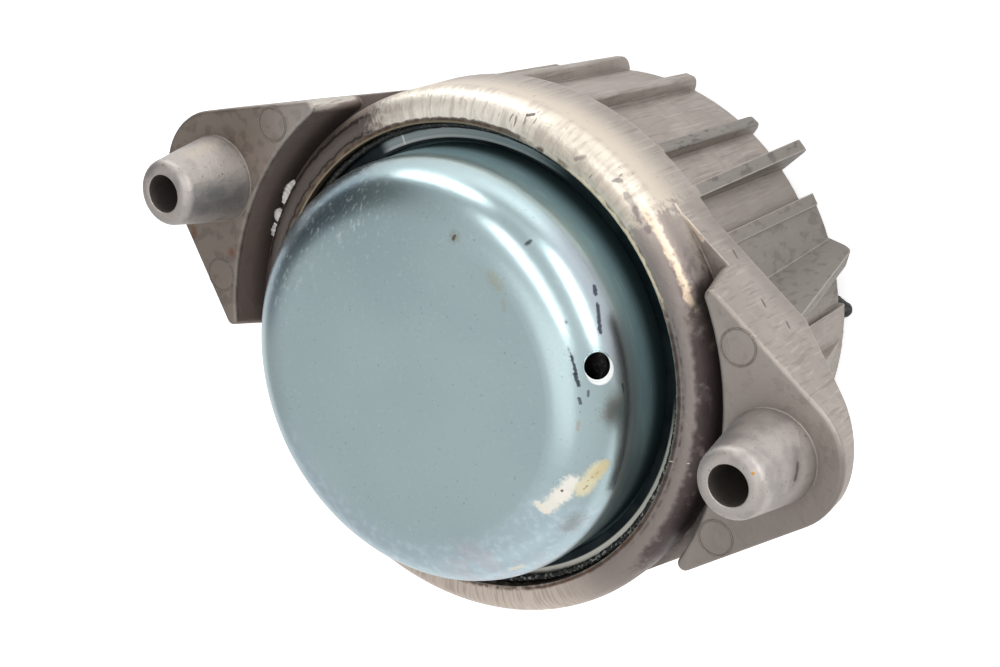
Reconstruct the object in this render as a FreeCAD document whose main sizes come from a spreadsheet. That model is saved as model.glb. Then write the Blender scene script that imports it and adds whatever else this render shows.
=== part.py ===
import FreeCAD, Part
import math
import os
from types import SimpleNamespace

import Sketcher

# Hydraulic engine mount: a cast bell housing with two lugs, closed by a pressed cap, with the
# rubber spring, the fluid channel plates and the diaphragm inside.
# Z is the mount's axis. The engine side stands on Z = 0 and the cap is on top.
# X runs from lug to lug, and Y is the side the lugs lean to.

SIZES = {
    # levels along the axis
    "rim_level": 6.6,           # end face of the bell
    "flange_back": 48.8,        # under side of the flange
    "flange_thick": 8.2,
    "pad_rise": 11.1,           # lug seats above the flange
    "boss_rise": 15.0,          # bosses above their seats
    "cap_rise": 17.6,           # cap above the ring
    "seat_drop": 0.8,           # inner shoulder below the flange
    # bell
    "flange_r": 50.0,
    "flange_step": 2.8,         # bell's root inside the flange's edge
    "bell_flare": 2.3,
    "bell_wall": 3.8,
    "bell_edge": 2.4,
    "end_wall": 3.6,
    "mouth_share": 0.54,        # of the flange's radius
    "side_rise": 2.6,
    "side_step": 0.6,
    "side_span": 88.0,          # degrees
    "stop_rise": 1.3,
    "stop_step": 0.3,
    "stop_span": 39.0,          # degrees
    # ring
    "ring_wall": 4.0,
    "ring_shoulder": 4.2,
    "rolled_lip": 2.1,          # reach of the rolled edge over the stack
    "rolled_thick": 2.7,
    # lugs
    "boss_reach": 11.8,         # boss's middle outside the flange's radius
    "boss_y": 11.7,
    "lug_end_r": 13.2,
    "groove_width": 1.6,
    "groove_flare": 2.1,
    "pad_tip_round": 1.3,
    "pad_edge": 0.7,
    "lug_draft": 4.7,           # degrees
    "slope_gap": 4.0,
    "lug_slope": 36.0,          # degrees
    "boss_root_r": 8.5,
    "boss_tip_r": 6.1,
    "boss_nose": 2.0,
    "boss_hole_r": 3.65,
    "boss_hole_depth": 22.0,
    # ribs
    "crown_rib_angle": 87.5,    # degrees
    "rib_pitch": 19.4,          # degrees
    "close_pitch": 11.6,        # degrees
    "low_pitch": 24.0,          # degrees
    "rib_width": 2.4,
    "rib_rise": 2.6,
    "last_rib_extra": 0.8,
    "tall_rib_extra": 4.5,
    "rib_corner": 2.8,
    "rib_edge": 0.6,
    "gusset_width": 3.0,
    "gusset_corner": 3.0,
    "upper_gusset_y": 27.3,
    "upper_rim_step": 6.1,
    "upper_root_reach": 2.6,
    "lower_gusset_y": 20.0,
    "lower_rim_step": 7.4,
    "lower_root_step": 3.4,
    "wedge_high_y": 10.0,
    "wedge_low_y": 8.0,
    "wedge_rim_step": 2.6,
    "wedge_root_reach": 7.0,
    # cap
    "cap_flange": 6.5,
    "cap_corner": 10.8,
    "cap_wall": 1.5,
    "vent_r": 2.45,
    "vent_turn": 29.6,          # degrees round the axis
    "vent_lean": 37.0,          # degrees above level
    # stack under the rolled edge
    "fit_gap": 0.2,
    "clamp_gap": 0.6,
    "clamp_thick": 1.7,
    "seal_lip": 1.4,
    "seal_thick": 0.5,
    "bead_gap": 1.1,
    "bead_thick": 2.5,
    "channel_cover_thick": 3.0,
    "channel_plate_thick": 4.0,
    "spring_skin": 0.5,
    "spring_ring_wall": 1.6,
    "spring_ring_gap": 1.2,
    "spring_ring_drop": 12.0,
    # channel
    "channel_margin": 8.0,
    "channel_width": 7.0,
    "channel_depth": 2.8,
    "channel_span": 300.0,      # degrees
    "port_r": 3.2,
    "grille_hole_r": 3.0,
    "grille_share": 0.61,       # of the membrane's radius
    "grille_count": 8,
    "membrane_margin": 8.0,
    "membrane_thick": 1.8,
    "membrane_play": 0.5,
    # diaphragm
    "diaphragm_wall": 1.8,
    "crest_rise": 7.0,
    "crest_margin": 9.5,
    "dip_rise": 4.4,
    "dip_run": 16.0,
    # core
    "neck_share": 0.63,         # of the mouth's radius
    "shoulder_rise": 7.3,
    "cone_step": 6.0,
    "cone_land": 3.0,
    "head_drop": 8.0,
    "core_thread_r": 5.1,
    "core_thread_depth": 26.0,
    # rebound stop and end buffer
    "stop_reach": 4.0,
    "stop_plate_thick": 2.5,
    "stop_rubber": 2.0,
    "buffer_margin": 3.9,
    "buffer_thick": 2.9,
    "buffer_lip": 1.5,
    "buffer_hook": 1.6,
    "tab_reach": 0.6,
    "tab_y": 16.0,
    "nub_r": 1.6,
    "nub_pitch": 7.1,
    "nub_count": 5,
}

# Sizes that follow from the ones above
DERIVED = {
    # radii
    "bell_root_r": "flange_r - flange_step",
    "bell_rim_r": "bell_root_r - bell_flare",
    "mouth_r": "flange_r * mouth_share",
    "side_rim_r": "bell_rim_r + side_rise",
    "side_root_r": "flange_r - side_step",
    "stop_rim_r": "side_rim_r + stop_rise",
    "stop_root_r": "flange_r - stop_step",
    "rib_rim_r": "bell_rim_r + rib_rise",
    "ring_bore_r": "flange_r - ring_wall",
    "rolled_edge_r": "ring_bore_r - rolled_lip",
    "groove_foot_r": "flange_r + groove_width",
    "pad_arc_r": "groove_foot_r + groove_flare",
    "boss_x": "flange_r + boss_reach",
    "lug_slope_start": "flange_r + slope_gap",
    "upper_gusset_rim": "flange_r - upper_rim_step",
    "upper_gusset_root": "flange_r + upper_root_reach",
    "lower_gusset_rim": "flange_r - lower_rim_step",
    "lower_gusset_root": "flange_r - lower_root_step",
    "wedge_rim": "flange_r - wedge_rim_step",
    "wedge_root": "flange_r + wedge_root_reach",
    "stack_r": "ring_bore_r - fit_gap",
    "cap_r": "ring_bore_r - cap_flange",
    "clamp_inner_r": "cap_r + clamp_gap",
    "bead_inner_r": "cap_r + bead_gap",
    "seal_inner_r": "rolled_edge_r - seal_lip",
    "spring_ring_r": "bell_root_r - bell_wall - spring_ring_gap",
    "channel_outer_r": "ring_bore_r - channel_margin",
    "channel_inner_r": "channel_outer_r - channel_width",
    "membrane_r": "channel_inner_r - membrane_margin",
    "grille_pitch_r": "membrane_r * grille_share",
    "crest_r": "cap_r - crest_margin",
    "dip_r": "crest_r - dip_run",
    "core_neck_r": "mouth_r * neck_share",
    "core_cone_r": "core_neck_r + cone_step",
    "core_head_r": "core_neck_r - cone_step",
    "stop_plate_r": "mouth_r + stop_reach",
    "buffer_r": "bell_rim_r - buffer_margin",
    "tab_x": "bell_rim_r + tab_reach",
    # levels
    "deep_level": "rim_level + end_wall",
    "floor_level": "flange_back + flange_thick",
    "pad_level": "floor_level + pad_rise",
    "seat_level": "flange_back - seat_drop",
    "spring_ring_foot": "seat_level - spring_ring_drop",
    "spring_ring_top": "seat_level + spring_ring_wall",
    "skin_top": "spring_ring_top + spring_skin",
    "channel_top": "skin_top + channel_plate_thick + channel_cover_thick",
    "bead_top": "channel_top + bead_thick",
    "cap_flange_top": "bead_top + cap_wall",
    "clamp_top": "cap_flange_top + clamp_thick",
    "seal_top": "clamp_top + seal_thick",
    "ring_top": "seal_top + rolled_thick",
    "cap_top": "ring_top + cap_rise",
    "crest_level": "ring_top + crest_rise",
    "dip_level": "channel_top + dip_rise",
    "core_shoulder": "deep_level + shoulder_rise",
    "core_cone_level": "core_shoulder + cone_land",
    "core_head_level": "seat_level - head_drop",
}


# A size with its cell

class Size:
    """A number together with the sheet expression that gives it."""

    def __init__(self, value, text):
        self.value = float(value)
        self.text = text

    def __add__(self, other):
        other = as_size(other)
        return Size(self.value + other.value, f"({self.text} + {other.text})")

    def __sub__(self, other):
        other = as_size(other)
        return Size(self.value - other.value, f"({self.text} - {other.text})")

    def __mul__(self, other):
        other = as_size(other)
        return Size(self.value * other.value, f"({self.text} * {other.text})")

    def __truediv__(self, other):
        other = as_size(other)
        return Size(self.value / other.value, f"({self.text} / {other.text})")

    def __neg__(self):
        return self * -1


def as_size(item):
    """Wraps a plain number."""
    return item if isinstance(item, Size) else Size(item, f"({float(item)})")


def sine(angle):
    return Size(math.sin(math.radians(angle.value)), f"sin({angle.text})")


def cosine(angle):
    return Size(math.cos(math.radians(angle.value)), f"cos({angle.text})")


def tangent(angle):
    return Size(math.tan(math.radians(angle.value)), f"tan({angle.text})")


def root(item):
    return Size(math.sqrt(item.value), f"sqrt({item.text})")


def arc_cosine(ratio):
    return Size(math.degrees(math.acos(ratio.value)), f"acos({ratio.text})")


def arc_tangent(ratio):
    return Size(math.degrees(math.atan(ratio.value)), f"atan({ratio.text})")


def make_sheet(doc):
    """Writes the driving dimensions and returns them as named sizes."""
    sheet = doc.addObject("Spreadsheet::Sheet", "Sizes")
    cells = {name: str(value) for name, value in SIZES.items()}
    cells.update({name: f"={formula}" for name, formula in DERIVED.items()})
    for row, (name, content) in enumerate(cells.items(), start=1):
        sheet.set(f"A{row}", name)
        sheet.setAlias(f"B{row}", name)
        sheet.set(f"B{row}", content)
    doc.recompute()
    return SimpleNamespace(**{name: Size(sheet.get(name), f"Sizes.{name}") for name in cells})


# Sketches

def bind(thing, prop, item):
    """Sets a property from a size, now and for later changes."""
    item = as_size(item)
    thing.setExpression(prop, item.text)


def new_body(doc, label):
    body = doc.addObject("PartDesign::Body", label)
    body.Label = label
    return body


def origin_plane(body, role):
    return next(item for item in body.Origin.OriginFeatures if item.Role == role)


def new_sketch(body, name, role="XZ_Plane", lift=0, turn=None):
    """A sketch on an origin plane, lifted along its normal and turned about the body's Z."""
    sketch = body.newObject("Sketcher::SketchObject", name)
    sketch.AttachmentSupport = [(origin_plane(body, role), "")]
    sketch.MapMode = "FlatFace"
    lift = as_size(lift)
    sketch.AttachmentOffset = FreeCAD.Placement(FreeCAD.Vector(0, 0, lift.value), FreeCAD.Rotation())
    bind(sketch, "AttachmentOffset.Base.z", lift)
    if turn is not None:
        spin = FreeCAD.Rotation(FreeCAD.Vector(0, 1, 0), turn.value)
        sketch.AttachmentOffset = FreeCAD.Placement(FreeCAD.Vector(0, 0, 0), spin)
        bind(sketch, "AttachmentOffset.Rotation.Angle", turn)
    return sketch


def pin_point(sketch, geometry, end, spot):
    """Holds one point at its two sizes, counted from the sketch's origin."""
    for kind, item in zip(("DistanceX", "DistanceY"), spot):
        index = sketch.addConstraint(Sketcher.Constraint(kind, -1, 1, geometry, end, item.value))
        bind(sketch, f"Constraints[{index}]", item)


def corner_cut(before, here, after, radius):
    """The two ends and the centre of the arc that rounds a corner."""
    one = (before - here).normalize()
    two = (after - here).normalize()
    half = one.getAngle(two) / 2
    back = radius / math.tan(half)
    middle = (one + two).normalize()
    return here + one * back, here + two * back, here + middle * (radius / math.sin(half))


def outline(sketch, corners):
    """Straight edges through the corners; a corner's third size rounds it."""
    spots = [(as_size(corner[0]), as_size(corner[1])) for corner in corners]
    rounds = [as_size(corner[2]) if len(corner) > 2 else None for corner in corners]
    points = [FreeCAD.Vector(x.value, y.value, 0) for x, y in spots]
    count = len(points)
    cuts = []
    for i in range(count):
        if rounds[i] is None:
            cuts.append((points[i], points[i], None))
        else:
            cuts.append(corner_cut(points[i - 1], points[i], points[(i + 1) % count], rounds[i].value))
    lines = [
        sketch.addGeometry(Part.LineSegment(cuts[i][1], cuts[(i + 1) % count][0]), False)
        for i in range(count)
    ]
    for i in range(count):
        before, after = lines[i - 1], lines[i]
        if rounds[i] is None:
            sketch.addConstraint(Sketcher.Constraint("Coincident", before, 2, after, 1))
            pin_point(sketch, after, 1, spots[i])
        else:
            round_corner(sketch, before, after, cuts[i], points[i], spots[i], rounds[i])


def round_corner(sketch, before, after, cut, point, spot, radius):
    """Adds the arc between two edges and holds the corner that they would meet in."""
    start, end, centre = cut
    left_turn = (start - centre).cross(end - centre).z > 0
    first, second = (start, end) if left_turn else (end, start)
    angles = [math.atan2(p.y - centre.y, p.x - centre.x) for p in (first, second)]
    circle = Part.Circle(centre, FreeCAD.Vector(0, 0, 1), radius.value)
    arc = sketch.addGeometry(Part.ArcOfCircle(circle, angles[0], angles[1]), False)
    near, far = (1, 2) if left_turn else (2, 1)
    sketch.addConstraint(Sketcher.Constraint("Tangent", before, 2, arc, near))
    sketch.addConstraint(Sketcher.Constraint("Tangent", after, 1, arc, far))
    index = sketch.addConstraint(Sketcher.Constraint("Radius", arc, radius.value))
    bind(sketch, f"Constraints[{index}]", radius)
    corner = sketch.addGeometry(Part.Point(point), True)
    sketch.addConstraint(Sketcher.Constraint("PointOnObject", corner, 1, before))
    sketch.addConstraint(Sketcher.Constraint("PointOnObject", corner, 1, after))
    pin_point(sketch, corner, 1, spot)


def circle(sketch, x, y, radius):
    """A circle held at its centre."""
    spot = (as_size(x), as_size(y))
    radius = as_size(radius)
    centre = FreeCAD.Vector(spot[0].value, spot[1].value, 0)
    item = sketch.addGeometry(Part.Circle(centre, FreeCAD.Vector(0, 0, 1), radius.value), False)
    pin_point(sketch, item, 3, spot)
    index = sketch.addConstraint(Sketcher.Constraint("Radius", item, radius.value))
    bind(sketch, f"Constraints[{index}]", radius)


def add_axis(sketch, ends):
    """A construction line between two held points."""
    points = [FreeCAD.Vector(x.value, y.value, 0) for x, y in ends]
    line = sketch.addGeometry(Part.LineSegment(*points), True)
    for end, spot in enumerate(ends, start=1):
        pin_point(sketch, line, end, spot)


# Features

def turned(body, name, corners, cut=False, span=None):
    """Revolves an outline about the axis, as material or as a cut."""
    sketch = new_sketch(body, f"{name}_profile")
    outline(sketch, corners)
    kind = "PartDesign::Groove" if cut else "PartDesign::Revolution"
    feature = body.newObject(kind, name)
    feature.Profile = sketch
    feature.ReferenceAxis = (sketch, ["V_Axis"])
    feature.Angle = 360
    if span is not None:
        feature.Midplane = True
        bind(feature, "Angle", span)
    return feature


def extruded(body, name, sketch, length, cut=False, both_ways=False, backward=False):
    """Pads or pockets a sketch by a length."""
    kind = "PartDesign::Pocket" if cut else "PartDesign::Pad"
    feature = body.newObject(kind, name)
    feature.Profile = sketch
    feature.Length = as_size(length).value
    bind(feature, "Length", length)
    if both_ways:
        feature.SideType = "Symmetric"
    if backward:
        feature.Reversed = True
    return feature


def edge_names(feature, wanted):
    """Names of the feature's edges that pass a test."""
    return [f"Edge{i}" for i, edge in enumerate(feature.Shape.Edges, start=1) if wanted(edge)]


def rounded(doc, body, name, base, wanted, radius):
    """Fillets the edges of the last feature that pass a test."""
    doc.recompute()
    feature = body.newObject("PartDesign::Fillet", name)
    feature.Base = (base, edge_names(base, wanted))
    feature.Radius = radius.value
    bind(feature, "Radius", radius)
    return feature


def lies_level(edge, level):
    """True for an edge that lies at one height."""
    return all(abs(vertex.Z - level) < 0.01 for vertex in edge.Vertexes) and (
        abs(edge.BoundBox.ZMax - edge.BoundBox.ZMin) < 0.02
    )


# Housing

def lug_outline(s):
    """The flange's plan: a round middle joined to two round lug ends by straight sides."""
    reach = root(s.boss_x * s.boss_x + s.boss_y * s.boss_y)
    lean = arc_tangent(s.boss_y / s.boss_x)
    spread = arc_cosine((s.flange_r - s.lug_end_r) / reach)
    grow = s.flange_r / (s.flange_r - s.lug_end_r)
    high = s.flange_r / sine(spread + lean)
    low = s.flange_r / sine(spread - lean)
    return [
        (0, high, s.flange_r),
        (-(s.boss_x * grow), s.boss_y * grow, s.lug_end_r),
        (0, -low, s.flange_r),
        (s.boss_x * grow, s.boss_y * grow, s.lug_end_r),
    ]


def add_lugs(doc, body, s):
    """The flange with its two raised pads and the groove that frees the ring."""
    sketch = new_sketch(body, "flange_plan", "XY_Plane", s.pad_level)
    outline(sketch, lug_outline(s))
    flange = extruded(body, "flange", sketch, s.pad_level - s.flange_back, backward=True)
    bind(flange, "TaperAngle", -s.lug_draft)
    pocket = turned(body, "ring_clearance", [
        (0, s.floor_level),
        (s.groove_foot_r, s.floor_level),
        (s.pad_arc_r, s.pad_level),
        (s.pad_arc_r, s.pad_level + 1),
        (0, s.pad_level + 1),
    ], cut=True)

    def is_pad_tip(edge):
        box = edge.BoundBox
        return box.ZMin > s.floor_level.value - 0.1 and box.ZLength > 5 and abs(box.Center.x) < s.pad_arc_r.value

    tips = rounded(doc, body, "pad_tips", pocket, is_pad_tip, s.pad_tip_round)
    slope = new_sketch(body, "lug_slope_profile")
    run = s.boss_x + s.lug_end_r + 5
    rise = (run - s.lug_slope_start) * tangent(s.lug_slope)
    for side in (1, -1):
        outline(slope, [
            (s.lug_slope_start * side, s.flange_back - 1),
            (run * side, s.flange_back - 1),
            (run * side, s.flange_back + rise),
            (s.lug_slope_start * side, s.flange_back),
        ])
    under = extruded(body, "lug_slopes", slope, s.flange_r * 4, cut=True, both_ways=True)

    def is_pad_edge(edge):
        return lies_level(edge, s.pad_level.value)

    return rounded(doc, body, "pad_edges", under, is_pad_edge, s.pad_edge)


def add_rib(body, s, name, angle, rim_r):
    """One radial rib from the flange to the rim, with its outer corner rounded."""
    sketch = new_sketch(body, f"{name}_profile", turn=angle)
    inside = s.bell_rim_r - s.bell_wall / 2
    outline(sketch, [
        (inside, s.rim_level),
        (rim_r, s.rim_level, s.rib_corner),
        (s.flange_r, s.flange_back + 1),
        (inside, s.flange_back + 1),
    ])
    return extruded(body, name, sketch, s.rib_width, both_ways=True)


def add_ribs(doc, body, s):
    """Ribs round the bell, closer together and with one taller on one side."""
    crown = s.crown_rib_angle
    close = crown - s.rib_pitch
    places = [
        (crown + s.rib_pitch * 2, s.rib_rim_r),
        (crown + s.rib_pitch, s.rib_rim_r),
        (crown, s.rib_rim_r),
        (close, s.rib_rim_r),
        (close - s.close_pitch, s.rib_rim_r + s.tall_rib_extra),
        (close - s.close_pitch * 2, s.rib_rim_r + s.last_rib_extra),
    ]
    for step in (-2, -1, 0, 1, 2):
        places.append((s.low_pitch * step - 90, s.rib_rim_r))
    for number, (angle, rim_r) in enumerate(places, start=1):
        last = add_rib(body, s, f"rib_{number}", angle, rim_r)
    free = [angle.value for angle, _ in places[:4] + places[7:10]]
    half = s.rib_width.value / 2

    def is_rib_edge(edge):
        """True for an outer edge of a rib that stands clear of the side walls and the lugs."""
        spot = edge.valueAt((edge.FirstParameter + edge.LastParameter) / 2)
        if not s.rim_level.value + 0.05 < spot.z < s.flange_back.value - 0.1:
            return False
        reach = math.hypot(spot.x, spot.y)
        bearing = math.degrees(math.atan2(spot.y, spot.x))
        for angle in free:
            turn = math.radians(bearing - angle)
            if abs(abs(reach * math.sin(turn)) - half) < 0.02 and math.cos(turn) > 0:
                share = (spot.z - s.rim_level.value) / (s.flange_back.value - s.rim_level.value)
                bell = s.bell_rim_r.value + (s.bell_root_r.value - s.bell_rim_r.value) * share
                return reach * math.cos(turn) > bell + 0.9
        return False

    return rounded(doc, body, "rib_edges", last, is_rib_edge, s.rib_edge)


def add_side_walls(body, s):
    """Wider stretches of the bell under the lugs."""
    for number, flip in enumerate((1, -1), start=1):
        for name, rim, base, span in (
            ("side_wall", s.side_rim_r, s.side_root_r, s.side_span),
            ("stop_wall", s.stop_rim_r, s.stop_root_r, s.stop_span),
        ):
            turned(body, f"{name}_{number}", [
                (0, s.rim_level + 0.2),
                (rim * flip, s.rim_level + 0.2, s.bell_edge / 2),
                (base * flip, s.flange_back + 1),
                (0, s.flange_back + 1),
            ], span=span)


def add_web(body, s, name, rim, base, low_y, high_y, corner):
    """A pair of upright webs under the lugs, one on each side."""
    sketch = new_sketch(body, f"{name}_profile", lift=-low_y)
    inside = s.bell_rim_r / 2
    for side in (1, -1):
        outline(sketch, [
            (inside * side, s.rim_level + 0.4),
            (rim * side, s.rim_level + 0.4, corner),
            (base * side, s.flange_back + 1),
            (inside * side, s.flange_back + 1),
        ])
    extruded(body, name, sketch, high_y - low_y, backward=True)


def add_bosses(doc, body, s):
    """Hollow tapered bosses on the pads, with rounded noses."""
    top = s.pad_level + s.boss_rise
    for number, side in enumerate((1, -1), start=1):
        cone = body.newObject("PartDesign::AdditiveCone", f"boss_{number}")
        cone.AttachmentSupport = [(origin_plane(body, "XY_Plane"), "")]
        cone.MapMode = "FlatFace"
        bind(cone, "AttachmentOffset.Base.x", s.boss_x * side)
        bind(cone, "AttachmentOffset.Base.y", s.boss_y)
        bind(cone, "AttachmentOffset.Base.z", s.pad_level)
        bind(cone, "Radius1", s.boss_root_r)
        bind(cone, "Radius2", s.boss_tip_r)
        bind(cone, "Height", s.boss_rise)

    def is_nose(edge):
        return lies_level(edge, top.value)

    nose = rounded(doc, body, "boss_noses", cone, is_nose, s.boss_nose)
    sketch = new_sketch(body, "boss_hole_plan", "XY_Plane", top)
    for side in (1, -1):
        circle(sketch, s.boss_x * side, s.boss_y, s.boss_hole_r)
    extruded(body, "boss_holes", sketch, s.boss_hole_depth, cut=True)
    return nose


def make_housing(doc, s):
    """The casting: bell, ribs, flange, ring, lugs and bosses in one piece."""
    body = new_body(doc, "housing")
    turned(body, "bell", [
        (0, s.rim_level),
        (s.bell_rim_r, s.rim_level, s.bell_edge),
        (s.bell_root_r, s.flange_back + 1),
        (0, s.flange_back + 1),
    ])
    add_lugs(doc, body, s)
    turned(body, "ring", [
        (0, s.flange_back),
        (s.flange_r, s.flange_back),
        (s.flange_r, s.ring_top, s.ring_shoulder),
        (0, s.ring_top),
    ])
    add_side_walls(body, s)
    add_ribs(doc, body, s)
    add_web(body, s, "upper_gussets", s.upper_gusset_rim, s.upper_gusset_root,
            s.upper_gusset_y - s.gusset_width, s.upper_gusset_y, s.gusset_corner)
    add_web(body, s, "lower_gussets", s.lower_gusset_rim, s.lower_gusset_root,
            -(s.lower_gusset_y + s.gusset_width), -s.lower_gusset_y, s.gusset_corner)
    add_web(body, s, "lug_wedges", s.wedge_rim, s.wedge_root,
            -s.wedge_low_y, s.wedge_high_y, s.rib_corner)
    add_bosses(doc, body, s)
    taper = (s.bell_root_r - s.bell_rim_r) / (s.flange_back - s.rim_level)
    turned(body, "hollow", [
        (0, s.rim_level - 1),
        (s.mouth_r, s.rim_level - 1),
        (s.mouth_r, s.deep_level),
        (s.bell_rim_r - s.bell_wall + taper * s.end_wall, s.deep_level, 3),
        (s.bell_root_r - s.bell_wall, s.seat_level),
        (s.ring_bore_r, s.seat_level),
        (s.ring_bore_r, s.seal_top),
        (s.rolled_edge_r, s.seal_top),
        (s.rolled_edge_r, s.cap_top),
        (0, s.cap_top),
    ], cut=True)
    return body


# Cap and what holds it

def make_cap(doc, s):
    """Drawn sheet cap with a level flange and a vent in its corner."""
    body = new_body(doc, "cap")
    low = s.bead_top
    high = s.cap_flange_top
    inner = s.cap_r - s.cap_wall
    turned(body, "cap_shell", [
        (0, s.cap_top - s.cap_wall),
        (inner, s.cap_top - s.cap_wall, s.cap_corner - s.cap_wall),
        (inner, low, s.cap_wall * 0.4),
        (s.stack_r, low),
        (s.stack_r, high),
        (s.cap_r, high),
        (s.cap_r, s.cap_top, s.cap_corner),
        (0, s.cap_top),
    ])
    drill = new_sketch(body, "vent_profile", turn=s.vent_turn)
    middle = (s.cap_r - s.cap_corner, s.cap_top - s.cap_corner)
    out = (cosine(s.vent_lean), sine(s.vent_lean))
    near, far = s.cap_corner * 0.5, s.cap_corner * 1.5
    ends = [(middle[0] + out[0] * reach, middle[1] + out[1] * reach) for reach in (near, far)]
    side = (-(out[1] * s.vent_r), out[0] * s.vent_r)
    outline(drill, [
        ends[0],
        ends[1],
        (ends[1][0] + side[0], ends[1][1] + side[1]),
        (ends[0][0] + side[0], ends[0][1] + side[1]),
    ])
    add_axis(drill, ends)
    vent = body.newObject("PartDesign::Groove", "vent")
    vent.Profile = drill
    vent.ReferenceAxis = (drill, ["Axis0"])
    vent.Angle = 360
    return body


def make_clamp_ring(doc, s):
    """Flat steel ring on the cap's flange."""
    body = new_body(doc, "clamp_ring")
    turned(body, "clamp_section", [
        (s.clamp_inner_r, s.cap_flange_top),
        (s.stack_r, s.cap_flange_top),
        (s.stack_r, s.clamp_top),
        (s.clamp_inner_r, s.clamp_top),
    ])
    return body


def make_seal_ring(doc, s):
    """Rubber ring under the rolled edge, squeezed up inside it."""
    body = new_body(doc, "seal_ring")
    low = s.clamp_top
    turned(body, "seal_section", [
        (s.seal_inner_r, low),
        (s.stack_r, low),
        (s.stack_r, low + s.seal_thick),
        (s.rolled_edge_r - s.fit_gap, low + s.seal_thick),
        (s.rolled_edge_r - s.fit_gap, low + s.seal_thick * 4),
    ])
    return body


def make_diaphragm(doc, s):
    """Thin rolling rubber diaphragm with a clamped bead."""
    body = new_body(doc, "diaphragm")
    low = s.channel_top
    wall = s.diaphragm_wall
    crest, dip = s.crest_level, s.dip_level
    crest_r, dip_r = s.crest_r, s.dip_r
    web = s.cap_r - s.cap_wall - 2
    turned(body, "diaphragm_section", [
        (0, dip - wall),
        (dip_r + 1, dip - wall, 3),
        (crest_r - 3, crest - wall, 3),
        (web - wall, crest - wall, 3),
        (web - wall, low, 1),
        (s.stack_r, low),
        (s.stack_r, low + s.bead_thick),
        (s.bead_inner_r, low + s.bead_thick),
        (s.bead_inner_r, low + wall),
        (web, low + wall, 1),
        (web, crest, 4),
        (crest_r - 4, crest, 4),
        (dip_r, dip, 3),
        (0, dip),
    ])
    return body


# Fluid channel

def add_ports(body, s, name, level, depth, port_angle):
    """The grille over the membrane and the port at one end of the channel."""
    sketch = new_sketch(body, f"{name}_plan", "XY_Plane", level)
    circle(sketch, 0, 0, s.grille_hole_r)
    extruded(body, f"{name}_middle", sketch, depth, cut=True)
    hole = new_sketch(body, f"{name}_hole_plan", "XY_Plane", level)
    circle(hole, s.grille_pitch_r, 0, s.grille_hole_r)
    first = extruded(body, f"{name}_hole", hole, depth, cut=True)
    pattern = body.newObject("PartDesign::PolarPattern", f"{name}_holes")
    pattern.Originals = [first]
    pattern.Axis = (hole, ["N_Axis"])
    pattern.Angle = 360
    bind(pattern, "Occurrences", s.grille_count)
    body.Tip = pattern
    port = new_sketch(body, f"{name}_port_plan", "XY_Plane", level)
    middle = (s.channel_inner_r + s.channel_outer_r) / 2
    port.AttachmentOffset = FreeCAD.Placement(
        FreeCAD.Vector(0, 0, as_size(level).value),
        FreeCAD.Rotation(FreeCAD.Vector(0, 0, 1), port_angle.value),
    )
    bind(port, "AttachmentOffset.Rotation.Angle", port_angle)
    circle(port, middle, 0, s.port_r)
    extruded(body, f"{name}_port", port, depth, cut=True)


def make_channel_plate(doc, s):
    """Lower half of the channel, with the membrane's recess."""
    body = new_body(doc, "channel_plate")
    low = s.skin_top
    high = low + s.channel_plate_thick
    recess = s.membrane_thick + s.membrane_play
    turned(body, "plate_disc", [
        (0, low),
        (s.stack_r, low),
        (s.stack_r, high),
        (0, high),
    ])
    turned(body, "membrane_recess", [
        (0, high - recess),
        (s.membrane_r + s.fit_gap, high - recess),
        (s.membrane_r + s.fit_gap, high + 1),
        (0, high + 1),
    ], cut=True)
    turned(body, "channel", [
        (s.channel_inner_r, high - s.channel_depth),
        (s.channel_outer_r, high - s.channel_depth),
        (s.channel_outer_r, high + 1),
        (s.channel_inner_r, high + 1),
    ], cut=True, span=s.channel_span)
    add_ports(body, s, "lower_grille", high, s.channel_plate_thick + 1, s.channel_span / 2 - 6)
    return body


def make_channel_cover(doc, s):
    """Upper half of the channel: a flat cover with the second port."""
    body = new_body(doc, "channel_cover")
    low = s.skin_top + s.channel_plate_thick
    high = low + s.channel_cover_thick
    turned(body, "cover_disc", [
        (0, low),
        (s.stack_r, low),
        (s.stack_r, high),
        (0, high),
    ])
    add_ports(body, s, "upper_grille", high, s.channel_cover_thick + 1, s.channel_span / -2 + 6)
    return body


def make_membrane(doc, s):
    """Loose rubber disc between the two grilles."""
    body = new_body(doc, "decoupler_disc")
    low = s.skin_top + s.channel_plate_thick - s.membrane_thick - s.membrane_play
    turned(body, "membrane_section", [
        (0, low),
        (s.membrane_r, low, s.membrane_thick * 0.3),
        (s.membrane_r, low + s.membrane_thick, s.membrane_thick * 0.3),
        (0, low + s.membrane_thick),
    ])
    return body


# Spring and core

def make_spring_ring(doc, s):
    """Steel ring that the spring is bonded into, hung on the housing's shoulder."""
    body = new_body(doc, "spring_ring")
    high = s.spring_ring_top
    inner = s.spring_ring_r - s.spring_ring_wall
    turned(body, "spring_ring_section", [
        (inner, s.spring_ring_foot),
        (s.spring_ring_r, s.spring_ring_foot),
        (s.spring_ring_r, s.seat_level),
        (s.stack_r, s.seat_level),
        (s.stack_r, high),
        (inner, high),
    ])
    return body


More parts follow.
